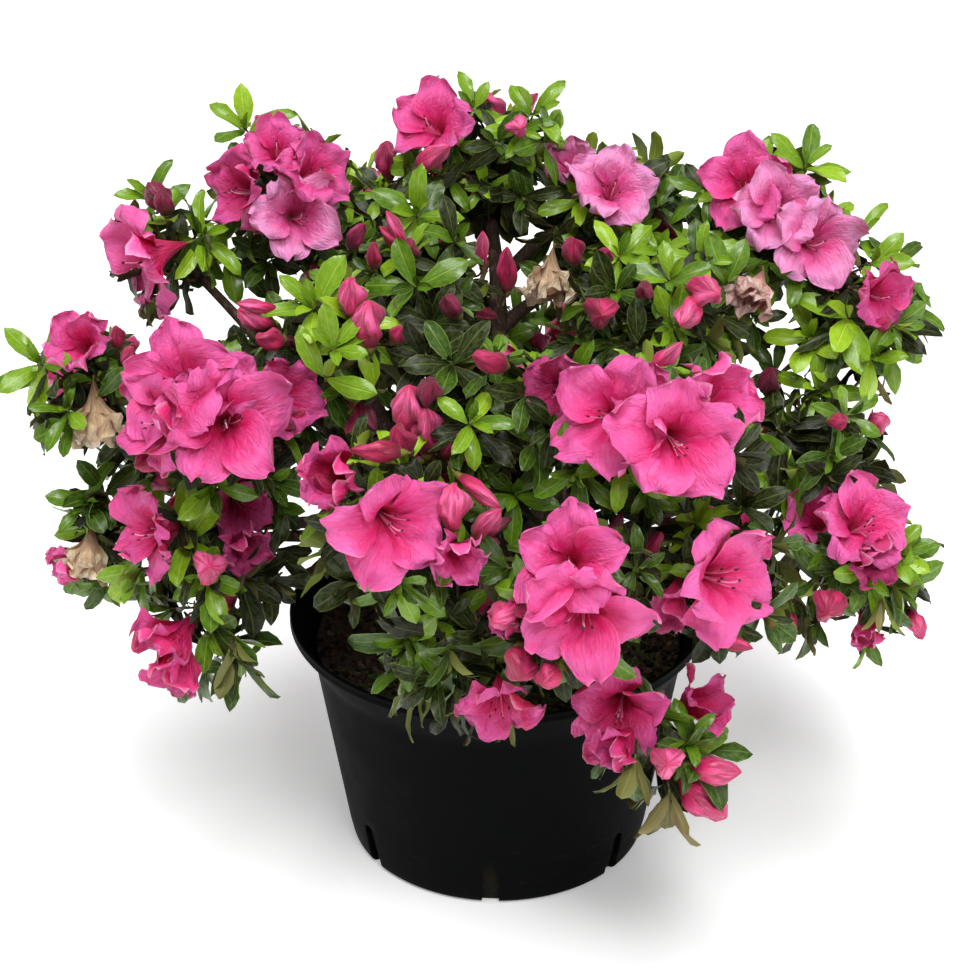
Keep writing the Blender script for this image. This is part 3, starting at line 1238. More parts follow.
wiltedInFront = {
    "far_left": [(0.4, -0.7, 10, -60, 52, "wilted0", "tan")],
    "far_lower_left": [(-0.15, -0.62, -10, -52, 44, "wilted1", "tan")],
    "right_top": [(-1.05, 0.12, -10, -48, 44, "wilted0", "tan"),
        (0.85, 0.02, -22, -18, 42, "wilted1", "blush")],
}
budsInFront = {
    # across, up, turned right, tilted up, length, kind, tone
    "top": [(-0.95, 0.0, -5, 72, 25, "plump", "rosy"), (-0.48, -0.12, 52, 38, 27, "pointed", "rosy"),
        (0.35, 0.25, 10, 10, 14, "round", "rosy")],
    "upper_left": [(0.82, -0.52, 32, 50, 24, "pointed", "rosy"),
        (0.32, -0.95, 0, 0, 11, "round", "crimson")],
    "middle_top": [(-0.55, 0.2, 0, 70, 18, "pointed", "crimson"), (0.7, 0.3, 5, 76, 22, "slim", "rosy"),
        (1.0, 0.1, 0, 84, 26, "pointed", "crimson"), (0.35, -0.4, -30, 50, 18, "small", "wine")],
    "left_top": [(-0.75, 0.3, -62, 20, 24, "slim", "rosy"),
        (-0.62, -0.05, -40, 20, 20, "plump", "crimson"), (0.25, 0.35, 0, 72, 26, "bursting", "rosy"),
        (0.45, 0.06, 5, 80, 28, "bursting", "rosy"), (0.75, 0.0, 30, 50, 14, "small", "crimson")],
    "centre": [(0.05, 0.55, -42, 30, 26, "pointed", "crimson"), (-0.6, 0.25, 22, 50, 22, "plump", "wine"),
        (0.75, 0.5, 30, 40, 14, "small", "crimson")],
    "centre_left": [(-0.05, 0.64, -82, 8, 24, "pointed", "crimson"),
        (0.14, 0.74, -32, 58, 22, "plump", "crimson"), (0.34, 0.82, 0, 80, 28, "bursting", "rosy"),
        (0.22, 1.06, -14, 84, 30, "bursting", "rosy"), (0.56, 0.75, 42, 50, 22, "plump", "crimson"),
        (0.66, 0.6, 62, 10, 13, "small", "crimson"), (0.76, 0.28, 52, -20, 26, "slim", "rosy"),
        (0.56, 0.08, 8, 80, 28, "bursting", "rosy"), (0.84, -0.05, 42, 50, 27, "pointed", "rosy")],
    "right_top": [(-0.78, 0.64, -10, 60, 22, "plump", "crimson"),
        (-0.5, 0.5, 12, 40, 22, "pointed", "crimson"), (-0.55, -0.1, 0, 10, 20, "round", "crimson"),
        (0.25, -0.12, -22, -10, 24, "plump", "rosy"), (0.36, 0.1, 34, 12, 28, "bursting", "rosy"),
        (-0.15, 0.1, -10, 30, 16, "small", "wine")],
    "right": [(-0.7, 0.8, 5, 60, 22, "plump", "wine"), (0.05, 0.2, 30, 20, 14, "small", "crimson")],
    "far_right": [(0.1, -0.2, 20, 30, 14, "small", "crimson")],
    "front_right": [(-0.8, 0.3, 32, 60, 22, "pointed", "crimson"),
        (0.05, -0.72, 62, -5, 18, "pointed", "crimson")],
    "front": [(-0.66, -0.55, 0, -20, 20, "round", "crimson"), (-0.8, -0.1, -30, 10, 24, "plump", "rosy"),
        (-0.36, -0.66, -30, -10, 15, "round", "crimson")],
    "lower_left": [(0.2, -0.35, 10, 30, 20, "round", "rosy"),
        (0.35, -0.92, -20, 60, 18, "plump", "crimson")],
    "front_right_low": [(0.02, 0.1, 0, 22, 19, "round", "rosy"),
        (0.58, -0.02, 76, 2, 26, "plump", "rosy"), (0.44, -0.34, 60, -26, 32, "bursting", "rosy")],
    "lower_right": [(-0.52, -0.34, -8, 0, 21, "round", "crimson"),
        (-0.98, -0.75, -20, -30, 20, "plump", "rosy"), (0.6, -0.6, 20, -30, 18, "plump", "rosy")],
    "far_left": [(0.66, 0.62, 10, 70, 15, "small", "crimson"),
        (0.8, 0.35, 30, 50, 18, "plump", "crimson")],
}
rosettesInFront = {
    # across, up, turned right, tilted up, leaf length, tone
    "left": [(0.68, -0.85, 20, 10, 24, "deep"), (0.0, -0.9, 0, 0, 24, "leaf")],
    "upper_left": [(-0.5, 0.86, -10, 55, 25, "fresh"), (-0.2, -0.9, 0, 10, 20, "deep"),
        (-0.86, -0.7, -10, 30, 28, "fresh"), (0.45, 0.1, 10, 50, 16, "leaf"),
        (0.05, 0.6, 0, 60, 18, "deep")],
    "left_tip": [(-0.42, 0.92, -20, 60, 24, "fresh"), (0.62, 0.25, 20, 40, 24, "fresh")],
    "far_left": [(-0.45, 0.36, -20, 40, 27, "fresh"), (0.0, -0.2, -10, 50, 22, "leaf"),
        (-0.12, -0.5, -30, 20, 20, "deep")],
    "left_top": [(-0.2, 0.4, -10, 50, 27, "fresh"), (0.0, -0.45, 10, 30, 27, "fresh"),
        (0.05, -0.1, 0, 40, 22, "fresh")],
    "top": [(0.45, -0.6, 10, 10, 22, "old"), (-0.08, 0.64, 0, 50, 20, "fresh"),
        (0.58, 0.56, 30, 50, 26, "fresh"), (0.45, 0.25, 20, 30, 20, "fresh"),
        (0.15, 0.1, 0, 30, 22, "deep"), (0.8, 0.2, 50, 30, 24, "leaf")],
    "middle_top": [(-0.1, 0.85, -5, 40, 27, "fresh"), (-0.1, -0.1, -5, 36, 26, "leaf"),
        (0.45, 0.5, 20, 40, 22, "deep"), (0.1, -0.55, 0, 30, 24, "old")],
    "top_right": [(-0.98, -0.5, -10, 20, 22, "deep"), (-0.6, 0.0, -10, 50, 24, "lime"),
        (0.3, -0.5, 10, 40, 22, "fresh"), (0.75, -0.1, 40, 40, 20, "deep"),
        (0.9, 0.1, 40, 50, 22, "deep")],
    "right_top": [(1.0, -0.1, 10, 30, 20, "deep"), (-1.0, 0.3, -10, 30, 22, "deep"),
        (-0.8, -0.4, -20, 20, 22, "old"), (-0.35, 0.66, -5, 50, 22, "fresh"),
        (0.05, 0.75, 5, 55, 22, "fresh"), (0.5, 0.55, 20, 40, 24, "fresh"),
        (0.1, 0.35, 0, 50, 20, "leaf"), (0.75, 0.3, 30, 40, 24, "leaf"), (-0.4, 0.15, 0, 30, 20, "deep")],
    "upper_right": [(-0.62, 0.3, -20, 50, 17, "fresh"), (-0.42, -0.4, -5, 40, 25, "fresh"),
        (-0.8, 0.3, -20, 40, 22, "leaf"), (0.42, 0.68, 20, 56, 24, "fresh"),
        (0.2, -0.7, 0, 40, 24, "fresh")],
    "far_right": [(0.05, 1.08, 0, 60, 25, "fresh"), (0.05, 0.55, 10, 40, 22, "fresh"),
        (0.5, -0.2, 50, 20, 24, "leaf"), (-0.75, -0.25, -20, 40, 26, "lime"),
        (-0.3, 0.0, -10, 50, 30, "fresh"), (0.0, -0.5, 0, 40, 24, "fresh")],
    "right": [(-0.65, 1.0, -10, 30, 22, "deep"), (0.05, -0.65, 10, 10, 22, "dark"),
        (-0.1, 0.75, 0, 40, 24, "fresh"), (0.3, 0.3, 20, 30, 22, "leaf"), (0.0, -0.3, 0, 20, 22, "deep")],
    "centre": [(-0.75, 0.6, -20, 30, 22, "dark"), (0.35, -0.7, 10, 30, 24, "leaf"),
        (-0.1, 0.04, 20, 45, 21, "fresh"), (0.6, -0.2, 20, 30, 24, "deep"),
        (0.45, 0.2, 10, 20, 22, "old"), (-0.4, 0.6, -10, 40, 24, "old")],
    "front_right": [(0.2, 0.75, 0, 30, 22, "old"), (-0.34, 0.68, -10, 50, 23, "lime"),
        (0.6, -0.55, 40, 0, 22, "deep"), (0.75, 0.3, 60, 10, 22, "old")],
    "front_low": [(-0.3, 0.55, -10, 20, 28, "fresh"), (-0.62, 0.2, -20, 0, 30, "leaf"),
        (-0.05, 0.0, 10, -20, 34, "deep"), (0.3, 0.3, 20, 10, 24, "old")],
    "left_low_tip": [(0.0, 0.3, -10, -10, 27, "leaf"), (0.5, -0.1, 10, -40, 32, "deep"),
        (0.35, -0.25, 0, -70, 29, "old"), (-0.75, 0.62, -40, 0, 24, "leaf")],
    "lower_left": [(-0.55, -0.98, -20, -30, 24, "deep"), (-0.85, -0.62, -30, 0, 27, "fresh"),
        (-0.15, 0.1, -20, 30, 28, "fresh"), (0.1, -0.6, -10, 20, 24, "leaf"),
        (0.92, 0.6, 20, 20, 24, "deep"), (1.0, -0.3, 30, 0, 26, "old"),
        (1.05, -0.95, 40, -20, 24, "dark"), (0.75, -0.7, 60, -10, 30, "dark")],
    "far_lower_left": [(0.15, -0.95, 0, -20, 24, "leaf"), (-0.2, 0.55, -10, 40, 22, "leaf"),
        (-0.32, 0.0, -30, 20, 22, "fresh"), (0.3, 0.7, 30, 40, 24, "deep"),
        (-0.5, -0.8, -30, -20, 22, "deep")],
    "front_right_low": [(0.1, -0.6, 0, -76, 34, "olive"), (0.5, 0.12, 50, 10, 22, "deep"),
        (-0.4, -0.2, -20, -60, 30, "deep"), (0.4, 0.4, 30, 50, 20, "leaf")],
    "lower_right": [(0.1, -0.92, 10, -40, 26, "leaf"), (-0.6, -0.8, -10, -40, 26, "deep"),
        (0.4, 0.3, 20, 40, 22, "fresh"), (0.0, -0.1, 0, 10, 24, "leaf"), (0.55, -0.2, 50, 10, 26, "leaf"),
        (-0.9, -0.95, -20, -40, 24, "dark"), (-1.0, -0.4, -20, -10, 24, "deep"),
        (-0.4, 0.05, -10, 30, 22, "deep"), (-0.7, -0.3, -20, -10, 26, "deep"),
        (0.2, -0.6, 10, -50, 28, "deep"), (0.66, 0.22, 60, 20, 22, "leaf")],
    "centre_left": [(0.9, 0.35, 40, 20, 24, "leaf"), (0.3, 0.3, 0, 30, 18, "dark"),
        (0.1, -0.75, 0, -10, 24, "leaf"), (-0.35, -0.2, -20, 0, 24, "dark")],
    "front": [(0.3, 0.93, 0, 30, 24, "old"), (0.7, 0.35, 30, 30, 20, "deep"),
        (-0.9, 0.3, -30, 20, 22, "deep")],
    "middle_right": [(-0.75, -0.5, -20, 0, 24, "leaf"), (0.75, -0.35, 40, 0, 24, "dark"),
        (-0.95, 0.0, -20, 20, 22, "old")],
}

plantLook = {
    "seed": 11, "spraySpacing": 20.5, "innerSpacing": 21, "sprayDepth": 15, "tries": 900,
    "flowerSpacing": 50, "flowersBehind": 44, "flowerTries": 6000, "budShare": 0.16,
    "flowerSink": 4.5, "budSink": 0.45, "rosetteSink": 11,  # how deep things sit in the front of a mass
    "limbShootTries": 7, "limbShootFloor": 138, "limbShootBehind": 15,
    "budFloor": 165, "budFront": -60,  # no seeded buds low down in front, over the pot
}
screenLook = {"nearest": -6, "furthest": 150, "from": 20, "to": 200, "step": 12, "cover": 12}
rng = random.Random(plantLook["seed"])
flowers, buds, rosettes = [], [], []


def stray(amount):
    return np.array([rng.gauss(0, amount) for _ in range(3)])


def openPlace(massName, place, spare):
    # Whether a place on a mass is free air, not inside or close to another mass.
    return all(depthIn(mass, place) <= -spare for name, mass in masses.items() if name != massName)


def plantFlower(massName, face, way, width, kind, tone, roll, placed):
    scale = width / petalLook["across"]
    flowers.append({"mass": massName, "face": face, "way": way, "width": width, "kind": kind, "tone": tone,
                    "roll": roll, "foot": face - way * throatDepth[kind[0]] * scale, "placed": placed,
                    "scale": scale, "open": kind[0] in "os"})


def plantBud(massName, foot, way, length, kind, tone, placed):
    buds.append({"mass": massName, "foot": foot, "way": way, "length": length, "kind": kind, "tone": tone,
                 "placed": placed})


def plantRosette(massName, tip, way, length, tone, placed=False, inner=False):
    rosettes.append({"mass": massName, "tip": tip, "way": way, "length": length, "tone": tone,
                     "placed": placed, "inner": inner})


def entries(table):
    # Each entry of a table: its mass, its place on the front of it, the way it faces, and what it is.
    for massName, rows in table.items():
        for across, up, turn, tilt, *made in rows:
            yield "foliage_" + massName, frontPlace(massName, across, up), facing(turn, tilt), made


for table in (flowersInFront, wiltedInFront):
    for massName, place, way, (width, kind, tone) in entries(table):
        plantFlower(massName, place - way * plantLook["flowerSink"], way, width, kind, tone,
                    math.radians(rng.uniform(-22, 22)), True)
for massName, place, way, (length, kind, tone) in entries(budsInFront):
    plantBud(massName, place - way * length * plantLook["budSink"], way, length, kind, tone, True)
for massName, place, way, (length, tone) in entries(rosettesInFront):
    plantRosette(massName, place - way * plantLook["rosetteSink"], way, length, tone, True)


def hiddenBy(place, others, radius):
    # Whether a place stands between the viewer and one of the things that are to be seen.
    for other, own in others:
        away = place - other
        along = away.dot(-lookWay)
        aside = np.linalg.norm(away - lookWay * away.dot(lookWay))
        if screenLook["nearest"] < along < screenLook["furthest"] and aside < own * radius:
            return True
    return False


def screened(place):
    # Whether the bush itself stands between the viewer and a place.
    for step in range(screenLook["from"], screenLook["to"], screenLook["step"]):
        point = place - lookWay * step
        if any(depthIn(mass, point) > screenLook["cover"] for mass in masses.values()):
            return True
    return False


# Flowers on the sides and the back, where the masses face open air.
names = sorted(masses)
for _ in range(plantLook["flowerTries"]):
    if sum(not f["placed"] for f in flowers) >= plantLook["flowersBehind"]:
        break
    massName = rng.choice(names)
    mass = masses[massName]
    z = rng.uniform(-0.35, 1)
    turn = rng.uniform(0, 2 * math.pi)
    way = np.array([math.cos(turn) * math.sqrt(1 - z * z), math.sin(turn) * math.sqrt(1 - z * z), z])
    place = mass["middle"] + way * (reachOf(mass, way) - 2)
    if way.dot(-lookWay) > 0.1 or not openPlace(massName, place + way * 8, 4):
        continue
    if not all(screened(place + np.array(step)) for step in ((0, 0, 12), (22, 0, 0), (-22, 0, 0))):
        continue
    nearest = min(np.linalg.norm(f["face"] - place) for f in flowers)
    if nearest < plantLook["flowerSpacing"] * rng.uniform(0.7, 1.25):
        continue
    aim = unit(way + np.array([0, 0, rng.uniform(-0.1, 0.7)]) + stray(0.2))
    kind = rng.choice([f"open{i}" for i in range(8)] + ["cup1", "cup0"])
    tone = rng.choice(("bright", "bright", "rose", "pale", "deep"))
    width = rng.uniform(50, 64)
    plantFlower(massName, place + aim * 2, aim, width, kind, tone, rng.uniform(-0.5, 0.5), False)

# Shoots over the whole bush: an outer layer of sprays, and old leaves deeper in.
seenThings = [(f["face"], f["width"]) for f in flowers if f["placed"]]
seenBuds = [(b["foot"] + b["way"] * b["length"] * 0.5, 10) for b in buds]
seenRosettes = [(r["tip"], 15) for r in rosettes]


def clearOfFlowers(place, margin):
    return all(np.linalg.norm(place - f["face"] - f["way"] * 4) >= f["width"] * margin for f in flowers)


def crowded(place, spacing):
    return len(grid) and np.min(np.sum((grid - place) ** 2, axis=1)) < spacing * spacing


def toneFor(place, way, inner):
    if inner:
        return rng.choice(("old", "dark", "dark", "deep"))
    lit = 0.5 * way[2] + 0.5 * (place[2] - 200) / 190 + rng.uniform(-0.35, 0.35)
    if lit > 0.55:
        return rng.choice(("fresh", "fresh", "lime", "leaf"))
    if lit > 0.15:
        return rng.choice(("fresh", "leaf", "leaf", "deep"))
    return rng.choice(("leaf", "deep", "old", "old"))


for inner in (False, True):
    spacing = plantLook["innerSpacing" if inner else "spraySpacing"]
    grid = np.zeros((0, 3)) if inner else np.array([r["tip"] for r in rosettes])
    for massName in names:
        mass = masses[massName]
        for _ in range(plantLook["tries"]):
            way = unit(stray(1))
            reach = reachOf(mass, way)
            if inner:
                place = mass["middle"] + way * reach * rng.uniform(0.35, 0.72)
            else:
                sunk = plantLook["sprayDepth"] + abs(rng.gauss(0, 2.5))
                place = mass["middle"] + way * max(reach - sunk, 8)
            if crowded(place, spacing):
                continue
            if not inner and not openPlace(massName, place + way * (plantLook["sprayDepth"] + 3), -2):
                continue
            if not clearOfFlowers(place, 0.30 if inner else 0.36):
                continue
            if not inner and (hiddenBy(place, seenThings, 0.42) or hiddenBy(place, seenBuds, 1.0)
                              or hiddenBy(place, seenRosettes, 0.8)):
                continue
            aim = unit(way * 0.9 + np.array([0, 0, 0.45]) + stray(0.22))
            plantRosette(massName, place, aim, rng.uniform(18, 28), toneFor(place, way, inner), inner=inner)
            grid = np.vstack([grid, place])

# Shoots off the bare parts of the boughs, on the side away from the viewer.
for massName in names:
    line = limbLines[leadTo[massName]][0]
    for point in line[len(line) // 3:]:
        for _ in range(plantLook["limbShootTries"]):
            away = unit(np.array([rng.gauss(0, 1), rng.gauss(0, 1), rng.gauss(0.3, 0.7)]))
            place = point + away * rng.uniform(14, 34)
            if place[2] < plantLook["limbShootFloor"] or place[1] < plantLook["limbShootBehind"]:
                continue
            if not screened(place) or not clearOfFlowers(place, 0.4):
                continue
            if any(depthIn(mass, place) > 2 for mass in masses.values()):
                continue
            if crowded(place, plantLook["innerSpacing"]):
                continue
            grid = np.vstack([grid, place])
            plantRosette(massName, place, unit(away + np.array([0, 0.3, 0.5])), rng.uniform(19, 27),
                         rng.choice(("leaf", "deep", "deep", "old")))
print(f"{len(flowers)} flowers, {len(buds)} placed buds, {len(rosettes)} rosettes")

# Buds among the leaves at the ends of some shoots.
for r in rosettes:
    nearPot = r["tip"][2] < plantLook["budFloor"] and r["tip"][1] < plantLook["budFront"]
    if not r["inner"] and not r["placed"] and not nearPot and rng.random() < plantLook["budShare"]:
        for _ in range(rng.choice((1, 1, 2, 3))):
            way = unit(r["way"] + stray(0.4))
            kind = rng.choice(tuple(budKinds))
            plantBud(r["mass"], r["tip"] + way * 1.5, way, budKinds[kind][0] * rng.uniform(0.75, 1.0), kind,
                     rng.choice(("rosy", "crimson", "crimson", "wine")), False)

leafMarks = []


def addLeaf(foot, way, face, length, kind, tone):
    way = unit(way)
    face = face - way * way.dot(face)
    if np.linalg.norm(face) < 0.05:
        face = np.cross(way, [0.3, 0.9, 0.1])
    face = unit(face)
    turned = np.stack([np.cross(way, face), way, face], 1)
    size = (length * mm * rng.uniform(0.9, 1.12), length * mm, length * mm)
    leafMarks.append((foot * mm, turned, size, leafShapeNumber[kind], leafToneNumber[tone]))


def lighter(tone, steps):
    order = ("dark", "old", "deep", "leaf", "fresh", "lime")
    if tone not in order:
        return tone
    return order[max(0, min(len(order) - 1, order.index(tone) + steps))]


# The kinds of full leaves that stand together on one shoot: the upper ones and the lower ones.
fullLeaves = (("young broad", "oval"), ("oval", "long"), ("oval", "young broad"), ("long", "drooping"))
hangingLeaves = ("rolled", "long", "drooping", "young broad")


def leafPlan(way, inner):
    # The leaves of one shoot. Each is a kind, a lean from the shoot in degrees, a share of the full
    # length, and how far along the shoot it sits in millimetres.
    if inner:
        return [("old oval", 64, 1.0, -2)] * 2 + [("old broad", 82, 1.0, -8)] * 3 + [("narrow", 70, 0.9, -14)]
    young = rng.random() < 0.75
    plan = [("bud leaf", 14, 0.40, 1)] * (2 if young else 1) + [("young", 36, 0.66, 0)] * 2
    upper, lower = rng.choice(fullLeaves)
    plan += [(upper, 52, 0.95, -1.5)] * rng.choice((2, 3)) + [(lower, 70, 1.04, -3)] * rng.choice((2, 3))
    plan += [(rng.choice(("old oval", "oval", "rolled")), 82, 1.0, -10)]
    plan += [(rng.choice(("old oval", "rolled")), 86, 0.95, -17)] * rng.choice((0, 1, 2))
    if way[2] < -0.5:
        plan = [(rng.choice(hangingLeaves), lean, share, -2)
                for lean, share in ((14, 1.0), (26, 0.95), (38, 0.8), (22, 0.75), (52, 0.75))]
    return plan


def addRosette(r):
    # Leaves in a spiral round the end of a shoot: small upright ones inside, full ones spread outside.
    way = r["way"]
    spin = rng.uniform(0, 6.3)
    plan = leafPlan(way, r["inner"])
    for number, (kind, lean, share, down) in enumerate(plan):
        turn = spin + goldenAngle * number + rng.uniform(-0.25, 0.25)
        lean = math.radians(lean + rng.uniform(-16, 14))
        out = outFrom(way, turn)
        blade = way * math.cos(lean) + out * math.sin(lean) + np.array([0, 0, -0.12])
        face = way * math.sin(lean) - out * math.cos(lean)
        face = face + 0.5 * np.array([rng.gauss(0, 0.5), rng.gauss(0, 0.5), 0.35])
        foot = r["tip"] + way * down + out * 0.9
        tone = r["tone"]
        if down <= -9 and not r["inner"]:
            tone = lighter(tone, -rng.choice((1, 2, 2)))
        elif lean < 0.45:
            tone = lighter(tone, rng.choice((0, 1)))
        elif rng.random() < 0.25:
            tone = lighter(tone, rng.choice((-1, 1)))
        if kind == "rolled":
            tone = rng.choice(("olive", "old"))
        addLeaf(foot, blade, face, r["length"] * share * rng.uniform(0.85, 1.1), kind, tone)


for r in rosettes:
    addRosette(r)

# Leaves just under every flower and placed bud.
for f in flowers:
    for k in range(5):
        out = outFrom(f["way"], goldenAngle * k + f["roll"])
        lean = math.radians(rng.uniform(60, 95))
        addLeaf(f["foot"] - f["way"] * rng.uniform(5, 12), f["way"] * math.cos(lean) + out * math.sin(lean),
                f["way"], rng.uniform(17, 25), rng.choice(("oval", "old oval", "long")),
                rng.choice(("leaf", "deep", "old")))


# The room that stays free of leaves in front of a flower, for one 60 mm across.
mouthLook = {"half": 22, "narrow": 0.6, "reach": 46, "lip": 2, "slope": 0.45, "checked": (0.35, 0.7, 1.0)}


def keptLeaves():
    # Leaves that would stick through the mouth of a flower are left out.
    feet = np.array([m[0] for m in leafMarks]) / mm
    tips = feet + np.array([m[1][:, 1] * m[2][1] for m in leafMarks]) / mm
    kept = np.ones(len(leafMarks), bool)
    for f in flowers:
        wide = mouthLook["half"] * f["scale"] * (1.0 if f["open"] else mouthLook["narrow"])
        for share in mouthLook["checked"]:
            away = blend(feet, tips, share) - f["foot"]
            up = away @ f["way"]
            out = np.sqrt(np.maximum((away ** 2).sum(1) - up ** 2, 0))
            above = up > mouthLook["lip"] + out * mouthLook["slope"]
            kept &= ~(above & (up < mouthLook["reach"] * f["scale"]) & (out < wide))
    return [m for m, keep in zip(leafMarks, kept) if keep]


leafMarks = keptLeaves()

# Twigs from each limb's end to every shoot, flower and bud. Each new end leaves the nearest wood, and
# wood gets thicker with what it carries.
twigLook = {
    "steps": 6, "sides": 5, "thick": 0.62, "growth": 0.42, "tip": 0.55, "foot": 1.15, "shoot": 1.02,
    "outside": 12, "lead": 12, "detour": 0.35, "leave": 0.25, "stray": 0.05, "arrive": 0.35, "shortest": 8,
}
woodLines, shootLines = [], []


def growTwigs(massName):
    look = twigLook
    line = limbLines[leadTo[massName]][0]
    mass = masses[massName]
    nodes, parents, ways, back = [], [], [], []
    inside = [p for p in line if depthIn(mass, p) > -look["outside"]]
    for i, point in enumerate(inside):
        nodes.append(point)
        parents.append(i - 1)
        ways.append(unit(inside[min(i + 1, len(inside) - 1)] - inside[max(i - 1, 0)]))
        back.append(0.0 if i == 0 else back[-1] + np.linalg.norm(point - inside[i - 1]))
    ends = [(r["tip"], r["way"]) for r in rosettes if r["mass"] == massName]
    ends += [(f["foot"], f["way"]) for f in flowers if f["mass"] == massName]
    ends += [(b["foot"], b["way"]) for b in buds if b["mass"] == massName and b["placed"]]
    ends.sort(key=lambda e: np.linalg.norm(e[0] - inside[0]))
    chains = []
    for tip, way in ends:
        cloud = np.array(nodes)
        cost = np.linalg.norm(cloud - (tip - way * look["lead"]), axis=1) + look["detour"] * np.array(back)
        source = int(np.argmin(cost))
        start = nodes[source]
        span = np.linalg.norm(tip - start)
        c1 = start + ways[source] * span * look["leave"] + stray(look["stray"]) * span
        c2 = tip - way * max(span * look["arrive"], look["shortest"])
        chain = [source]
        for k in range(1, look["steps"] + 1):
            s = k / look["steps"]
            point = start * (1 - s) ** 3 + c1 * 3 * s * (1 - s) ** 2 + c2 * 3 * s * s * (1 - s) + tip * s ** 3
            nodes.append(point)
            parents.append(chain[-1])
            ways.append(unit(point - nodes[chain[-1]]))
            back.append(back[chain[-1]] + np.linalg.norm(point - nodes[chain[-1]]))
            chain.append(len(nodes) - 1)
        chains.append(chain)
    load = np.zeros(len(nodes))
    for chain in chains:
        node = chain[-1]
        while node >= 0:
            load[node] += 1
            node = parents[node]
    for chain in chains:
        radii = [look["thick"] * load[n] ** look["growth"] for n in chain]
        radii[0] = radii[1] * look["foot"]
        points = [nodes[n] for n in chain]
        woodLines.append((np.array(points[:-1]), radii[:-1]))
        shootLines.append((np.array(points[-2:]), [radii[-2] * look["shoot"], look["tip"]]))


for massName in names:
    growTwigs(massName)

twigSkin = barkSkin("twigBark", "241812", barkLook["shoot"], "8a7560", 700)
shootSkin = barkSkin("shootBark", "5c4a26", barkLook["green"], "9a8a50", 500)
for name, lines, skin, slot in (("twigs", woodLines, twigSkin, "bark"),
                                ("shoots", shootLines, shootSkin, "foliage")):
    finished(name, tubes(name, lines, twigLook["sides"], 0.0, 200, skin), slot)
print(f"{len(woodLines)} twigs, {len(leafMarks)} leaves")

# Leaves, joined by age.
leafSkins = [[leafSkin(name, face, rib, leafGloss[name]), undersideSkin(name, under)]
             for name, (face, rib, under) in leafTones.items()]
leafShapes = [leafShape(name, index) for index, name in enumerate(leafLook)]
leafGroups = {"leaves_young": ("lime", "fresh"), "leaves_summer": ("leaf", "olive"),
              "leaves_deep": ("deep",), "leaves_old": ("old",), "leaves_dark": ("dark",)}
for pieceName, tones in leafGroups.items():
    wanted = [leafToneNumber[t] for t in tones]
    marks = [m[:4] + (wanted.index(m[4]),) for m in leafMarks if m[4] in wanted]
    mesh = spread(pieceName, leafShapes, marks, [leafSkins[t] for t in wanted])
    finished(pieceName, mesh, "foliage", names if pieceName == "leaves_young" else (), tiles=True)

# Petals, in a left and a right half of the bush.
petalSkins = []
for tone in petalTones:
    plain = petalSkin("petal" + tone.title(), tone, "plain")
    back = petalSkin("petalBack" + tone.title(), tone, "back")
    speckled, striped = plain, plain
    if tone not in ("tan", "blush"):
        speckled = petalSkin("petalSpeckled" + tone.title(), tone, "blotched")
    if tone == "bright":
        striped = petalSkin("petalStriped", tone, "striped")
    petalSkins.append([plain, speckled, back, striped])
flowerShapes = [flowerShape(kind, index) for index, kind in enumerate(flowerKinds)]
flowerMarks = [(f["foot"] * mm, axesAlong(f["way"], f["roll"]), f["scale"] * mm, flowerNumber[f["kind"]],
                petalToneNumber[f["tone"]]) for f in flowers]
for pieceName, side in (("petals_left", -1), ("petals_right", 1)):
    marks = [m for m in flowerMarks if m[0][0] * side >= petalLook["split"] * mm * side]
    finished(pieceName, spread(pieceName, flowerShapes, marks, petalSkins), "blossom", tiles=True)

stamenSkins = [[newSkin("filament", hexColour("e07aa4"), 0.4), newSkin("anther", hexColour("4a1626"), 0.6),
                newSkin("pistil", hexColour("f0b4cc"), 0.4)]]
stamenShapes = [stamenShape(k) for k in range(5)]
stamenMarks = [(*m[:3], k % 5, 0) for k, (m, f) in enumerate(zip(flowerMarks, flowers)) if f["open"]]
finished("stamens", spread("stamens", stamenShapes, stamenMarks, stamenSkins), "blossom")

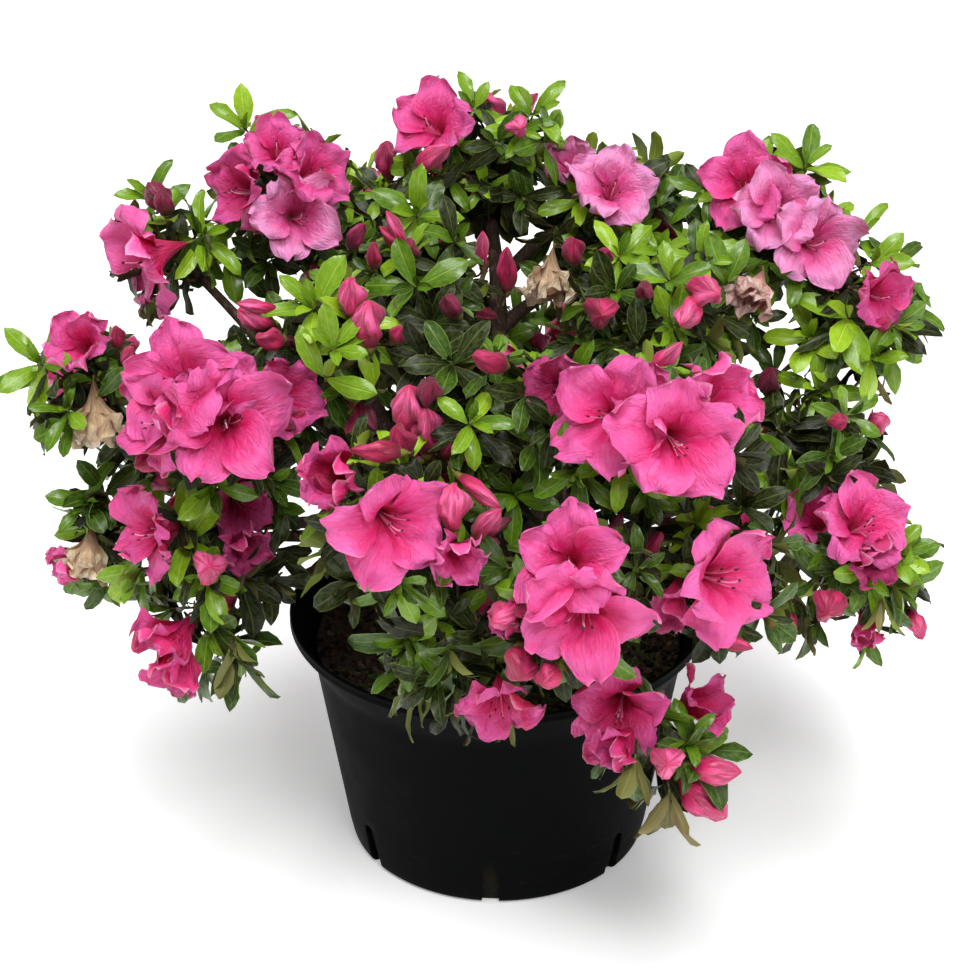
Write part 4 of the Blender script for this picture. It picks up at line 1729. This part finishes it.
budSkins = [[budSkin(name), grainySkin("sepal" + name.title(), "62762c", "7a4a30", 0.55)]
            for name in budTones]
budShapes = [budShape(kind, index) for index, kind in enumerate(budKinds)]
budMarks = [(b["foot"] * mm, axesAlong(b["way"], rng.uniform(0, 6)),
             b["length"] / budKinds[b["kind"]][0] * mm, budNumber[b["kind"]], budToneNumber[b["tone"]])
            for b in buds]
finished("buds", spread("buds", budShapes, budMarks, budSkins), "blossom", tiles=True)
print("leaves and blossom stand")

# The pale floor, the soft light and the view.
studioLook = {"floorHalf": 9, "floorGrey": 0.95, "floorGlow": 0.26, "worldLight": 0.34}
half, grey = studioLook["floorHalf"], studioLook["floorGrey"]
floorMesh = bpy.data.meshes.new("floor")
floorMesh.from_pydata([(-half, -half, 0), (half, -half, 0), (half, half, 0), (-half, half, 0)], [],
                      [(0, 1, 2, 3)])
floorMesh.materials.append(newSkin("floorPaper", (grey, grey, grey, 1), 0.9, Specular_IOR_Level=0.2,
                                   Emission_Color=(1, 1, 1, 1), Emission_Strength=studioLook["floorGlow"]))
standing("floor", floorMesh)

viewLook = {"aim": (-6.9, 0, 206), "from": (-6.9, -1093, 765), "lens": 88.3}
camera = standing("camera", bpy.data.cameras.new("camera"))
camera.data.lens = viewLook["lens"]
camera.location = Vector(viewLook["from"]) * mm
aim = (Vector(viewLook["aim"]) - Vector(viewLook["from"])) * mm
camera.rotation_euler = aim.to_track_quat("-Z", "Y").to_euler()
scene.camera = camera

lightLook = {
    # kind, place in metres, breadth (degrees for the sun), strength
    "daylight": ("SUN", (-0.2, -0.42, 2.2), 40, 2.9),
    "key": ("AREA", (0.25, -1.15, 1.5), 0.35, 11),
    "fill": ("AREA", (1.5, -0.6, 0.9), 0.9, 4),
}
for name, (kind, place, breadth, strength) in lightLook.items():
    light = standing(name, bpy.data.lights.new(name, kind))
    light.data.energy = strength
    if kind == "SUN":
        light.data.angle = math.radians(breadth)
    else:
        light.data.size = breadth
    light.location = place
    light.rotation_euler = (light.location - Vector((0, 0, 0.2))).to_track_quat("Z", "Y").to_euler()
world = bpy.data.worlds.new("studio")
scene.world = world
world.use_nodes = True
background = world.node_tree.nodes["Background"].inputs
background["Color"].default_value = (1, 1, 1, 1)
background["Strength"].default_value = studioLook["worldLight"]
scene.view_settings.view_transform = "Standard"
